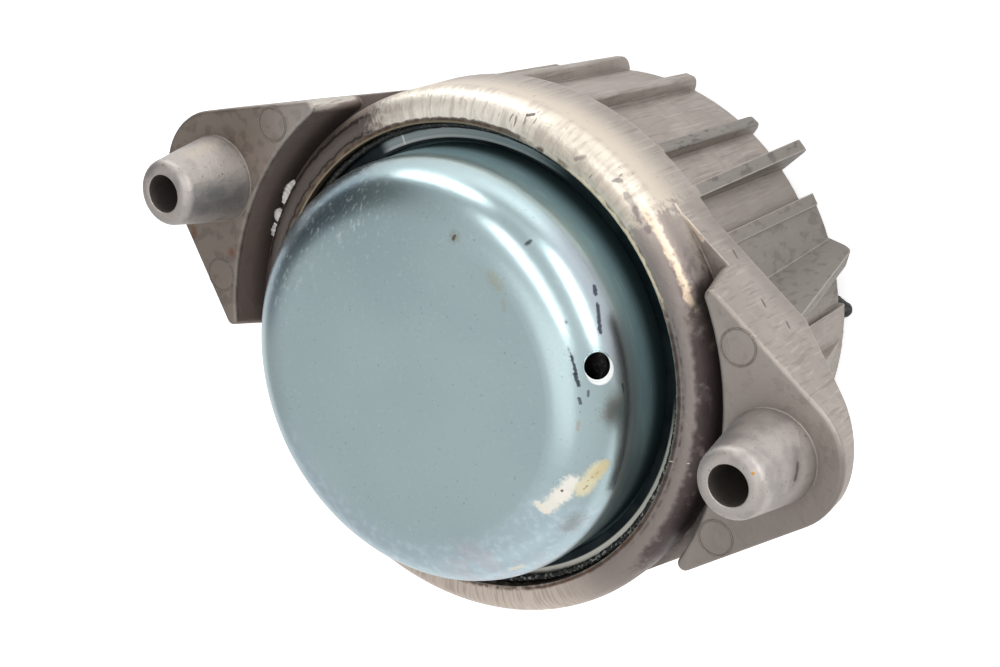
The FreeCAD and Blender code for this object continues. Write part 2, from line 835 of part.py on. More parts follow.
def make_main_spring(doc, s):
    """Conical rubber between the core and the ring."""
    body = new_body(doc, "main_spring")
    inner = s.spring_ring_r - s.spring_ring_wall
    high = s.spring_ring_top
    slant = (s.core_cone_r - s.core_head_r) / (s.core_head_level - s.core_cone_level)
    head = s.core_head_level - 2
    turned(body, "spring_section", [
        (s.core_cone_r, s.core_cone_level),
        (s.core_cone_r + 2, s.core_cone_level),
        (inner - 3, s.spring_ring_foot, 6),
        (inner, s.spring_ring_foot),
        (inner, high),
        (s.stack_r, high),
        (s.stack_r, high + s.spring_skin),
        (inner - 4, high + s.spring_skin, 3),
        (s.core_head_r + slant * 2 + 2, head, 2),
        (s.core_head_r + slant * 2, head),
    ])
    return body


def make_core(doc, s):
    """Inner member with the engine's thread."""
    body = new_body(doc, "core")
    turned(body, "core_form", [
        (0, 0),
        (s.core_neck_r, 0, 1),
        (s.core_neck_r, s.core_shoulder),
        (s.core_cone_r, s.core_shoulder),
        (s.core_cone_r, s.core_cone_level),
        (s.core_head_r, s.core_head_level, 3),
        (0, s.core_head_level),
    ])
    tip = s.core_thread_r * 0.6
    turned(body, "core_thread", [
        (0, -1),
        (s.core_thread_r, -1),
        (s.core_thread_r, s.core_thread_depth),
        (0, s.core_thread_depth + tip),
    ], cut=True)
    return body


def make_stop_plate(doc, s):
    """Rebound stop pressed on the core's neck."""
    body = new_body(doc, "stop_plate")
    low = s.core_shoulder - s.stop_plate_thick
    turned(body, "stop_plate_section", [
        (s.core_neck_r, low),
        (s.stop_plate_r, low),
        (s.stop_plate_r, s.core_shoulder),
        (s.core_neck_r, s.core_shoulder),
    ])
    return body


def make_stop_rubber(doc, s):
    """Rubber moulded round the stop plate's edge."""
    body = new_body(doc, "stop_rubber")
    low = s.core_shoulder - s.stop_plate_thick
    inside = s.stop_plate_r - 7
    turned(body, "stop_rubber_section", [
        (inside, low),
        (inside, low - s.stop_rubber),
        (s.stop_plate_r + s.stop_rubber, low - s.stop_rubber, 1),
        (s.stop_plate_r + s.stop_rubber, s.core_shoulder + 1, 1),
        (s.stop_plate_r - 2, s.core_shoulder + 1),
        (s.stop_plate_r - 2, s.core_shoulder),
        (s.stop_plate_r, s.core_shoulder),
        (s.stop_plate_r, low),
    ])
    return body


def make_end_buffer(doc, s):
    """Rubber buffer hooked into the bell's mouth, with a nubbed tab on each side."""
    body = new_body(doc, "end_buffer")
    top = s.rim_level
    low = top - s.buffer_thick
    inner = s.mouth_r - s.buffer_lip
    turned(body, "buffer_ring", [
        (inner, low),
        (s.buffer_r, low, 1),
        (s.buffer_r, top),
        (s.mouth_r, top),
        (s.mouth_r, s.deep_level),
        (s.mouth_r + s.buffer_hook, s.deep_level),
        (inner, s.deep_level + s.buffer_hook),
    ])
    tabs = new_sketch(body, "tab_plan", "XY_Plane", low)
    for side in (1, -1):
        outline(tabs, [
            (s.mouth_r * 1.2 * side, -s.tab_y),
            (s.tab_x * side, -s.tab_y, 2),
            (s.tab_x * side, s.tab_y, 2),
            (s.mouth_r * 1.2 * side, s.tab_y),
        ])
    extruded(body, "tabs", tabs, s.buffer_thick)
    for number, side in enumerate((1, -1), start=1):
        nub = body.newObject("PartDesign::AdditiveSphere", f"nub_{number}")
        nub.AttachmentSupport = [(origin_plane(body, "XY_Plane"), "")]
        nub.MapMode = "FlatFace"
        bind(nub, "AttachmentOffset.Base.x", s.tab_x * side)
        bind(nub, "AttachmentOffset.Base.y", -s.nub_pitch * (s.nub_count - 1) / 2)
        bind(nub, "AttachmentOffset.Base.z", low + s.buffer_thick / 2 - 0.1)
        bind(nub, "Radius", s.nub_r)
        row = body.newObject("PartDesign::LinearPattern", f"nub_row_{number}")
        row.Originals = [nub]
        row.Direction = (tabs, ["V_Axis"])
        bind(row, "Length", s.nub_pitch * (s.nub_count - 1))
        bind(row, "Occurrences", s.nub_count)
        body.Tip = row
    return body


# Whole part

def check_document(doc):
    """Stops at any object that did not compute."""
    doc.recompute()
    for item in doc.Objects:
        bad = [word for word in item.State if word in ("Invalid", "Error", "Touched")]
        if bad:
            raise RuntimeError(f"{item.Name}: {item.State}")
        if hasattr(item, "Shape") and item.TypeId.startswith(("PartDesign", "Part::")):
            if item.Shape.isNull() or not item.Shape.isValid():
                raise RuntimeError(f"{item.Name}: no valid shape")


def main():
    os.makedirs("parts", exist_ok=True)
    doc = FreeCAD.newDocument("engine_mount")
    sizes = make_sheet(doc)
    makers = (
        make_housing, make_cap, make_clamp_ring, make_seal_ring, make_diaphragm,
        make_channel_cover, make_channel_plate, make_membrane, make_main_spring,
        make_spring_ring, make_core, make_stop_plate, make_stop_rubber, make_end_buffer,
    )
    bodies = []
    for make in makers:
        bodies.append(make(doc, sizes))
        doc.recompute()
    check_document(doc)
    for body in bodies:
        body.Shape.exportStep(f"parts/{body.Label}.step")


main()
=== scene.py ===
# %% [markdown]
# # A hydraulic engine mount
# The real part is a ribbed aluminium casting, shaped like a bell with two lugs. A pressed and
# zinc-plated cap closes it, and the casting's edge is rolled over the stack of rings inside.
# The rigid shapes come ready from the CAD model. Blender adds the finishes, the rubber and the
# small marks that casting, grinding and use have left.

# %% Load the frame
import math
import random

import bmesh
import bpy
from mathutils import Matrix, Vector


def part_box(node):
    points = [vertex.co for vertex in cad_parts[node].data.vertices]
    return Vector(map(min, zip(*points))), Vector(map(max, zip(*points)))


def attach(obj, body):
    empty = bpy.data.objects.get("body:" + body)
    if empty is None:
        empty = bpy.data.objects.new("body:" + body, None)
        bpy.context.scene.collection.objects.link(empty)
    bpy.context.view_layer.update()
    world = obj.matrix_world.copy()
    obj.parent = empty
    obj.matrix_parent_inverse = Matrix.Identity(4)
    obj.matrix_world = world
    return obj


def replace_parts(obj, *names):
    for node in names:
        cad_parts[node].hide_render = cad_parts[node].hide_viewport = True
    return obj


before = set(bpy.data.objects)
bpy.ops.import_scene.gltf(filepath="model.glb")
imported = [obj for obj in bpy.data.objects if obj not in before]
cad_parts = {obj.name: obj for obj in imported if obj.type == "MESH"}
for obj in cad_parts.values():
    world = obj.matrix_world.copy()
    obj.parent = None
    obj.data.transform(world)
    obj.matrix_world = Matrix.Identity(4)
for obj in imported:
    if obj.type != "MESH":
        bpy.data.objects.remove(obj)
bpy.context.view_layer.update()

scene = bpy.context.scene
scene.view_settings.view_transform = "Standard"
MM = 0.001
print("pieces from the CAD model:", sorted(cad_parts))

# %% [markdown]
# ## Sizes that the finishes follow
# A finish that belongs to one place, such as the ground band on the ring, needs to know where
# that place is. The numbers are in millimetres, in the frame of the CAD model: Z is the mount's
# axis, and X runs from lug to lug. Angles are in degrees round the axis, from X towards Y.

# %% Places on the part
RING_R = 50.0
PAD_LEVEL = 68.1
BELL_R = 44.54  # at level 0
BELL_TAPER = 0.0545  # its growth per mm of height
CAP_R = 39.5
CAP_TOP = 83.6
CAP_CORNER = 10.8
BOSSES = ((61.8, 11.7), (-61.8, 11.7))
BOSS_R = 8.5
HOLE_END = 61.1
HOLE_R = 3.65
ABOVE_ALL = 90.0
low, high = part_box("housing")
print("housing, mm:", [round((b - a) / MM, 1) for a, b in zip(low, high)])

# %% [markdown]
# ## Two small tools
# `linear` turns a colour as it is written, in sRGB, to the linear values that nodes take.
# `add` makes one node, sets its settings and links or fills its inputs, in shader trees and in
# geometry trees alike. With it a finish reads like a recipe. `SOFT` makes a Map Range node
# ease in and out.

# %% Colour and node helpers
SOFT = {"interpolation_type": "SMOOTHSTEP"}


def linear(code):
    """A hex colour turned to linear values, with a full alpha."""
    parts = [int(code[i:i + 2], 16) / 255 for i in (1, 3, 5)]
    return (*(p / 12.92 if p <= 0.04045 else ((p + 0.055) / 1.055) ** 2.4 for p in parts), 1.0)


def add(tree, kind, inputs=(), out=0, **settings):
    """Adds one node and returns the output asked for, or the node itself when out is None."""
    item = tree.nodes.new(kind)
    for name, value in settings.items():
        setattr(item, name, value)
    pairs = inputs.items() if isinstance(inputs, dict) else enumerate(inputs)
    for key, value in pairs:
        if isinstance(value, bpy.types.NodeSocket):
            tree.links.new(value, item.inputs[key])
        elif value is not None:
            item.inputs[key].default_value = value
    return item if out is None else item.outputs[out]


# %% [markdown]
# ## Patterns that several finishes share
# Every pattern reads Object coordinates, turned to millimetres, so a size of 5 means a feature
# of about 5 mm. `Place` keeps the position and its polar parts, the radius and the angle round
# the mount's axis, which suit a part that is mostly turned. A `zone` is a soft range of those,
# a `stroke` is a ragged mark between two points, and `paint` lays colours over each other where
# their masks are. `above` and `below` give a range that is open at one end.

# %% Where a point of the surface is
def above(foot, full):
    """A soft range that is open at its upper end."""
    return foot, full, None, None


def below(last, end):
    """A soft range that is open at its lower end."""
    return None, None, last, end


class Place:
    """Position on the part, in millimetres, with its radius, angle and level."""

    def __init__(self, tree):
        self.tree = tree
        spot = add(tree, "ShaderNodeTexCoord", out="Object")
        self.point = add(tree, "ShaderNodeVectorMath", [spot, (1 / MM,) * 3], operation="MULTIPLY")
        self.x, self.y, self.z = add(tree, "ShaderNodeSeparateXYZ", [self.point], out=None).outputs
        flat = add(tree, "ShaderNodeVectorMath", [self.point, (1, 1, 0)], operation="MULTIPLY")
        self.r = add(tree, "ShaderNodeVectorMath", [flat], out="Value", operation="LENGTH")
        turn = add(tree, "ShaderNodeMath", [self.y, self.x], operation="ARCTAN2")
        self.angle = add(tree, "ShaderNodeMath", [turn, math.degrees(1)], operation="MULTIPLY")
        # the same angle and radius with uneven borders, and the surface unrolled round the ring
        self.ragged = self.grain(1.0, 3.0)
        self.wander = self.uneven(self.angle, self.ragged, 12.0)
        self.fray = self.uneven(self.r, self.grain(1.6, 2.0, seed=51.0), 1.2)
        across = add(tree, "ShaderNodeMath", [self.r, self.z], operation="SUBTRACT")
        arc = add(tree, "ShaderNodeMath", [self.angle, math.radians(RING_R)], operation="MULTIPLY")
        self.unrolled = add(tree, "ShaderNodeCombineXYZ", [arc, across, 0.0])

    def grain(self, size, detail=2.0, stretch=(1, 1, 1), seed=0.0, over=None):
        """Noise whose features are about that many millimetres across."""
        moved = add(self.tree, "ShaderNodeMapping", {
            "Vector": self.point if over is None else over, "Location": (seed, seed * 0.7, -seed),
            "Scale": tuple(part / size for part in stretch)})
        return add(self.tree, "ShaderNodeTexNoise", {"Vector": moved, "Scale": 1.0, "Detail": detail})

    def uneven(self, value, noise, spread):
        """A value that noise moves, by up to half of the spread to either side."""
        moved = add(self.tree, "ShaderNodeMath", [noise, spread, value], operation="MULTIPLY_ADD")
        return add(self.tree, "ShaderNodeMath", [moved, spread / 2], operation="SUBTRACT")

    def patches(self, size, foot, full, **settings):
        """Noise cut to soft patches between two of its levels."""
        return add(self.tree, "ShaderNodeMapRange", [self.grain(size, **settings), foot, full], **SOFT)

    def zone(self, **limits):
        """A mask that rises from a limit's first number to its second and falls from its third
        to its fourth; None leaves that side open."""
        mask = None
        for name, (foot, full, last, end) in limits.items():
            for start, stop in ((foot, full), (end, last)):
                if start is None:
                    continue
                side = add(self.tree, "ShaderNodeMapRange", [getattr(self, name), start, stop], **SOFT)
                if mask is not None:
                    side = add(self.tree, "ShaderNodeMath", [mask, side], operation="MULTIPLY")
                mask = side
        return mask

    def stroke(self, start, end, reach, ragged=1.4, edge=0.3, squash=(1, 1, 1)):
        """A ragged mark of half-width reach between two points; without an end it is a spot."""
        near = add(self.tree, "ShaderNodeVectorMath", [self.point, start], operation="SUBTRACT")
        if end is not None:
            run = Vector(end) - Vector(start)
            share = add(self.tree, "ShaderNodeVectorMath", [near, tuple(run / run.length_squared)],
                        out="Value", operation="DOT_PRODUCT")
            share = add(self.tree, "ShaderNodeMath", [share, 1.0], operation="MULTIPLY", use_clamp=True)
            back = add(self.tree, "ShaderNodeVectorMath", {0: tuple(run), "Scale": share}, operation="SCALE")
            near = add(self.tree, "ShaderNodeVectorMath", [near, back], operation="SUBTRACT")
        scale = tuple(part / reach for part in squash)
        near = add(self.tree, "ShaderNodeVectorMath", [near, scale], operation="MULTIPLY")
        gap = add(self.tree, "ShaderNodeVectorMath", [near], out="Value", operation="LENGTH")
        if ragged:
            gap = add(self.tree, "ShaderNodeMath", [self.ragged, ragged, gap], operation="MULTIPLY_ADD")
        border = 1 + ragged / 2
        return add(self.tree, "ShaderNodeMapRange", [gap, border + edge, border - edge], **SOFT)


# %% Paint, marks and corners
SHADE_REACH = 4.2


def paint(tree, base, layers):
    """Lays colours over each other; a layer is its colour, its strength and its masks."""
    colour = linear(base)
    for code, strength, *masks in layers:
        for mask in masks:
            strength = add(tree, "ShaderNodeMath", [strength, mask], operation="MULTIPLY")
        colour = add(tree, "ShaderNodeMix", {0: strength, 6: colour, 7: linear(code)},
                     out=2, data_type="RGBA")
    return colour


def marks(at, table, ragged=1.4):
    """Layers for a table of strokes: start, end, half-width, soft edge, colour, strength."""
    return [(code, strength, at.stroke(start, end, reach, ragged, edge))
            for start, end, reach, edge, code, strength in table]


def corners(tree, radius):
    """Crease mask for painted shade, edge mask for painted highlight and wear, and the rounded normal."""
    open_sky = add(tree, "ShaderNodeAmbientOcclusion", {"Distance": SHADE_REACH * MM}, out="AO", samples=6)
    shaded_crease = add(tree, "ShaderNodeMapRange", [open_sky, 0.72, 0.3], **SOFT)
    rounded = add(tree, "ShaderNodeBevel", {"Radius": radius * MM}, samples=6)
    facing = add(tree, "ShaderNodeNewGeometry", out="Normal")
    alike = add(tree, "ShaderNodeVectorMath", [rounded, facing], out="Value", operation="DOT_PRODUCT")
    edge = add(tree, "ShaderNodeMapRange", [alike, 0.985, 0.9], **SOFT)
    outer = add(tree, "ShaderNodeMapRange", [open_sky, 0.6, 0.85], **SOFT)
    return shaded_crease, add(tree, "ShaderNodeMath", [edge, outer], operation="MULTIPLY"), rounded


# %% Start and end of a finish
def new_finish(name):
    """An empty material and its tree."""
    material = bpy.data.materials.new(name)
    material.use_nodes = True
    material.node_tree.nodes.clear()
    return material, material.node_tree


def close_finish(material, looks, height, strength, relief, rounded=None):
    """Ends a finish: its inputs by name, and a height pattern of so many millimetres."""
    tree = material.node_tree
    bump = add(tree, "ShaderNodeBump", {
        "Strength": strength, "Distance": relief * MM, "Height": height, "Normal": rounded})
    shader = add(tree, "ShaderNodeBsdfPrincipled", {**looks, "Normal": bump})
    add(tree, "ShaderNodeOutputMaterial", [shader], out=None)
    return material


# %% [markdown]
# ## Die-cast aluminium
# The housing is cast under pressure in a steel die. The skin is a dull warm grey with fine
# grain, and drawn lines run along the axis where the casting left the die. Painted shade darkens
# the creases, the groove beside the lugs and parts of the bell and the right lug, and painted
# highlights lie on outer edges, bosses, the ring and a lug tip; the left lug is browner. A rough
# metal shows all of this through roughness and colour, so the finish is one metal shader with
# masks that follow the part's own places. Its colours come in groups, from the bell inwards to
# the ring, and each group is painted over the ones before.

# %% Colours of the bell and its ribs
def bell_layers(at, upright, draw, blots):
    """The bell: cloudy, drawn lines on upright faces, darker rib faces, painted shade low at the right."""
    dark_lines = add(at.tree, "ShaderNodeMapRange", [draw, 0.53, 0.7], **SOFT)
    pale_lines = at.patches(0.6, 0.55, 0.7, detail=2, stretch=(1, 1, 0.04), seed=8)
    smudge = at.patches(1.6, 0.52, 0.64, detail=4, stretch=(1, 1, 0.4), seed=33)
    # a rib's narrow face is what stands proud of the bell
    from_bell = add(at.tree, "ShaderNodeMath", [at.z, -BELL_TAPER, at.r], operation="MULTIPLY_ADD")
    at.proud = add(at.tree, "ShaderNodeMath", [from_bell, BELL_R], operation="SUBTRACT")
    ribs = at.zone(proud=above(1.9, 2.3), angle=(18, 26, 76, 80), z=below(47.6, 48.4))
    return [
        ("#B2AAA3", 0.7, at.patches(14, 0.35, 0.65, detail=3)),
        ("#8D847E", 0.3, blots),
        ("#877D78", 0.5, upright, dark_lines),
        ("#C6BFB7", 0.4, upright, pale_lines),
        ("#777570", 0.65, ribs),
        ("#504B49", 0.6, ribs, smudge),
        # painted shade: the bell is darker low at the right
        ("#8A827C", 0.5, at.zone(angle=(22, 32, 52, 60), z=below(50, 56))),
    ]


# %% Colours of the lugs
EJECTOR_MARKS = ((50.9, 27.3), (57.0, -7.1))
EJECTOR_R = 3.25


def lug_layers(at, blots, shaded_gap_left, shaded_gap_right):
    """The lugs: the left one browner; painted shade in the groove facing the ring and on the right pad."""
    left = at.zone(x=below(-58, -44), z=above(62, 66))
    # distance to the nearest ejector mark; the marks lie alike on both lugs
    from_middle = add(at.tree, "ShaderNodeMath", [at.x], operation="ABSOLUTE")
    mirrored = add(at.tree, "ShaderNodeCombineXYZ", [from_middle, at.y, 0.0])
    gaps = [add(at.tree, "ShaderNodeVectorMath", [mirrored, (x, y, 0)], out="Value", operation="DISTANCE")
            for x, y in EJECTOR_MARKS]
    at.mark = add(at.tree, "ShaderNodeMath", gaps, operation="MINIMUM")
    mark_edge_shadow = (EJECTOR_R - 0.5, EJECTOR_R - 0.1, EJECTOR_R + 0.05, EJECTOR_R + 0.35)
    tip = at.zone(r=above(53, 53.4), angle=(135, 137, 142, 146), z=(57.4, 58, 67.2, 67.8),
                  y=above(32.6, 33.4))
    return [
        ("#84796F", 0.8, left),
        ("#6A605A", 0.4, left, blots),
        ("#6B605B", 0.6, at.zone(z=(56.2, 56.7, 57.4, 58), x=below(-20, 0), r=above(50.2, 50.6))),
        # painted shade in the groove between each lug and the ring, deeper at the right
        ("#85756F", 0.85, shaded_gap_left),
        ("#4A403D", 0.7, shaded_gap_right),
        # painted shade: the right pad is darker away from its tip
        ("#857C76", 0.6, at.zone(x=above(46, 60), y=below(14, 26), z=(66.5, 67.5, 68.6, 69.2))),
        # painted shadow: a dark ring round each ejector mark's raised edge
        ("#655B57", 0.6, at.zone(mark=mark_edge_shadow, z=above(67.6, 67.9))),
        # painted highlight on the left pad's rounded upper tip, streaked with drawn lines
        ("#CFC9C0", 0.7, tip, at.patches(0.5, 0.3, 0.5, stretch=(1, 1, 0.04), seed=9)),
    ]


# %% [markdown]
# ## The ring round the cap
# The ring was ground bright after casting over a third of its round, which leaves a cream band
# with short marks across it, and a painted highlight lies on its shoulder and its left part. To
# the left of the band it is brown, and to the right it is mauve with dirt on its outer shoulder.
# Its inner edge was rolled over: it is dark and rusty, with painted highlights as bright lines
# along it and as a broken streak further out.

# %% Colours of the ring's left side and of the ground band
def left_layers(at, ring):
    """The ring's left side: brown, with two dark lines and duller metal beside them."""
    left = above(126, 136)
    raised = above(60, 62)
    return [
        ("#5A514D", 0.85, ring, at.zone(wander=left)),
        ("#5E5551", 0.85, ring, at.zone(wander=below(-150, -128))),
        ("#7A726E", 0.6, ring, at.zone(wander=left, r=(45.5, 46.2, 47.4, 48))),
        ("#2E2523", 0.8, at.zone(wander=left, fray=(47.6, 48, 48.2, 48.7), z=raised)),
        ("#84776B", 0.75, at.zone(wander=above(124, 134), fray=(48.4, 48.8, 50.4, 50.9), z=above(63, 63.8))),
        ("#2E2523", 0.8, at.zone(wander=left, fray=(45, 45.2, 45.3, 45.6), z=raised)),
        ("#857562", 0.7, at.zone(wander=above(120, 132), fray=below(44.6, 44.9), z=above(63.4, 64))),
    ]


def ground_layers(at):
    """The ground band: it fades down the outside, has short marks across it and a painted highlight."""
    raised = above(60, 62)
    hatch = at.patches(0.9, 0.46, 0.62, detail=3, stretch=(1, 0.12, 1), over=at.unrolled, seed=6)
    dashes = at.patches(0.5, 0.56, 0.68, detail=1.5, stretch=(1, 0.16, 1), over=at.unrolled, seed=2)
    clumps = at.patches(5, 0.5, 0.62, seed=23)
    few = at.patches(1.8, 0.62, 0.72, seed=41)
    dark_dashes = at.zone(angle=(60, 64, 98, 106), r=(45.4, 46, 49.5, 50.1), z=above(61.5, 62.5))
    return [
        ("#DCD1C2", 0.95, at.zone(wander=(54, 58, 118, 134), z=above(50, 61), r=(43.4, 44.4, 50.2, 50.4))),
        # painted highlight along the ring's shoulder
        ("#EFE7D9", 0.6, at.zone(wander=(56, 59, 108, 124), z=(61.6, 63.2, 65.5, 65.9), r=above(46.2, 47.6))),
        # painted highlight over the ground metal at the left of the band
        ("#FFF8EC", 0.95, at.zone(wander=(80, 96, 120, 132), z=raised, r=(44, 45, 49, 50))),
        ("#BDB1A6", 0.45, at.zone(wander=(54, 58, 120, 136), z=raised, r=(44.4, 45.4, 50.2, 50.4)), hatch),
        ("#F4EEE0", 0.8, at.zone(angle=(108, 114, 128, 132), z=raised, r=(44.6, 45.4, 49.4, 50.2)), dashes),
        ("#7A6F70", 0.75, dark_dashes, dashes, clumps),
        ("#6B6064", 0.5, at.zone(angle=(54, 58, 124, 134), r=(45, 45.8, 50.2, 50.4)), dashes, few),
    ]


# %% Colours of the ring's right side and of its rolled edge
def right_layers(at, ring, blots):
    """From the band down the right side: mauve, dirty outside, then pale and brushed below."""
    shoulder = at.zone(wander=(-30, -20, 28, 36), fray=above(46.9, 48), r=below(50.2, 50.5), z=above(55, 60))
    brushed = at.patches(0.5, 0.44, 0.64, detail=3, stretch=(1, 0.08, 1), over=at.unrolled, seed=61)
    side = at.zone(wander=(-34, -22, 40, 50), r=(47.6, 48.6, 50.2, 50.5), z=above(50, 58))
    return [
        ("#8E8480", 0.7, ring, at.zone(angle=(-48, -36, 46, 56))),
        ("#4A3E3E", 0.9, shoulder, at.patches(3, 0.26, 0.46, detail=4, seed=4)),
        ("#5B4F4E", 0.6, side, blots),
        ("#E4D6C9", 0.85, ring, at.zone(angle=(-130, -112, -58, -30))),
        ("#9A8C84", 0.4, ring, at.zone(angle=(-130, -112, -50, -30)), brushed),
    ]


def rolled_layers(at, blots):
    """The rolled edge: dark and rusty, with painted highlights as bright lines and a streak further out."""
    inside, lip, crest = above(62.5, 63.2), above(63, 64), above(64.2, 64.9)
    rust = at.patches(1.3, 0.4, 0.66, detail=3, seed=19)
    streak = at.zone(fray=(48.1, 48.5, 49, 49.6), z=(63, 63.7, 65.4, 65.8), wander=(34, 39, 56, 60))
    return [
        ("#4C3F37", 0.85, at.zone(r=below(44.3, 45.1), z=inside), blots),
        ("#4C3F37", 0.85, at.zone(wander=(84, 92, 128, 140), fray=below(44.7, 45.1), z=inside)),
        ("#544641", 0.8, at.zone(r=(44, 44.2, 44.5, 44.8), z=lip, angle=(-62, -50, 34, 44))),
        ("#5D4A43", 0.7, at.zone(r=(44.9, 45.1, 45.3, 45.6), z=lip, angle=(-30, -10, 30, 40)), blots),
        ("#714B33", 0.7, at.zone(r=below(44.3, 44.9), z=lip, angle=(-84, -66, -14, -4)), rust),
        ("#8A7F72", 0.8, at.zone(r=below(43.7, 43.9), z=above(64, 64.6), angle=(16, 28, 74, 84))),
        # painted highlights: the lit crest of the rolled edge and a pale line inside it
        ("#F4DFC0", 0.9, at.zone(fray=(43.7, 43.9, 44.3, 44.7), z=crest, wander=(32, 44, 70, 82))),
        ("#D0D1CD", 0.85, at.zone(r=(43.4, 43.6, 43.8, 44), z=above(64.2, 64.6), angle=(-20, -8, 38, 48))),
        ("#A08B6C", 0.7, at.zone(r=(43.3, 43.6, 44.1, 44.4), z=crest, angle=(84, 100, 170, 178))),
        # painted highlight: a broken bright streak on the ring's right shoulder
        ("#F6E0C6", 0.9, streak, at.patches(1.6, 0.25, 0.5, seed=53)),
    ]


def ring_layers(at):
    """All of the ring, from its base colour up."""
    ring = at.zone(r=(42.8, 43.1, 50.15, 50.35), z=above(58, 62))
    blots = at.patches(2.2, 0.42, 0.6, detail=4, seed=15)
    return [("#A79C95", 0.8, ring), *left_layers(at, ring), *ground_layers(at),
            *right_layers(at, ring, blots), *rolled_layers(at, blots)]


# %% [markdown]
# ## Bosses and single marks
# The two bosses are paler than the lugs, pitted, and dark inside their holes, where the dark
# brown also stands for shade. Single marks are listed in tables with their places: knocks, rust,
# a scribed line and painted highlights.

# %% Colours of the bosses, and the casting's marks
# painted highlights: warm bright flecks on the left boss
BOSS_HIGHLIGHTS = (  # start, end, half-width, soft edge, colour, strength
    ((-61.4, 19.8, 72), (-61.6, 18, 77), 1.3, 1.3, "#D8C9B2", 0.4),
    ((-56.4, 13.6, 78.2), (-56.2, 12, 78.6), 0.8, 1.3, "#E2CBA8", 0.45),
)
BOSS_MARKS = (
    ((68.2, 15.6, 73.2), (69.4, 13.2, 74.4), 0.34, 0.6, "#443B39", 0.85),
    ((67.4, 17.2, 72.6), (70, 12.4, 74.8), 1, 1.2, "#6F6764", 0.5),
    ((65.1, 15.7, 82.9), None, 0.3, 0.3, "#C7903F", 0.9),
)
RUST_AND_KNOCKS = (
    ((-55.4, -1.5, PAD_LEVEL), None, 0.7, 1.2, "#85583C", 0.7),
    ((-65.2, -2.3, PAD_LEVEL), (-65.6, -0.5, PAD_LEVEL), 0.5, 1.2, "#7B5638", 0.7),
    ((38.4, 36, 51.6), (40, 34.8, 52.6), 0.3, 0.3, "#4B4446", 0.7),
    ((48, 32, 56.4), (49.2, 31, 57.4), 0.3, 0.3, "#4B4446", 0.7),
    ((53, 29.4, 55.2), (53.9, 28.8, 55.9), 0.3, 0.3, "#4B4446", 0.6),
    ((24.9, 41, 65), (26.2, 39.6, 65.8), 0.5, 0.8, "#605459", 0.6),
    ((22.6, 42.4, 65), (28.4, 38.4, 65.3), 0.6, 0.3, "#605459", 0.5),
)
SCRIBED_LINE = (
    ((43.6, 0.8, 66), (47.5, 2.1, 65.6), 0.12, 0.3, "#E6E0D4", 0.9),
)
RING_KNOCKS_AND_HIGHLIGHT = (
    ((0.5, 48.4, 65), (1.4, 48.8, 64.6), 0.3, 0.3, "#3F3737", 0.8),
    # painted highlight: a peach line along the flange's edge by the right lug
    ((28.4, 41.3, 57), (34.8, 37.3, 57), 0.36, 0.3, "#F3E2CE", 0.8),
    ((12, 45, 65.9), (13.4, 45.9, 65.6), 0.36, 0.6, "#6A5F66", 0.55),
    ((19.6, 43.8, 65.1), (20.9, 44.5, 64.7), 0.4, 0.3, "#6A5F66", 0.6),
)


def round_bosses(at, foot, radius, squash=(1, 1, 1)):
    """A mask of what lies round the two bosses' axes, from a level upwards."""
    sides = [at.stroke((x, y, foot), (x, y, ABOVE_ALL), radius, ragged=0, edge=0.02, squash=squash)
             for x, y in BOSSES]
    return add(at.tree, "ShaderNodeMath", sides, operation="MAXIMUM")


def boss_layers(at, bosses):
    """The two bosses: pale, blotched and pitted, with painted highlights and knocks."""
    pits = at.patches(0.55, 0.68, 0.74, detail=1, seed=21)
    return [
        ("#C2BBB7", 0.85, bosses),
        ("#A39C98", 0.4, bosses, at.zone(x=above(40, 50), z=below(79, 81))),
        ("#9A9593", 0.6, bosses, at.patches(5, 0.5, 0.68, seed=27)),
        *marks(at, BOSS_HIGHLIGHTS),
        ("#6A625F", 0.55, bosses, pits),
        *marks(at, BOSS_MARKS),
    ]


# %% Finish of the casting
EDGE_R = 0.45


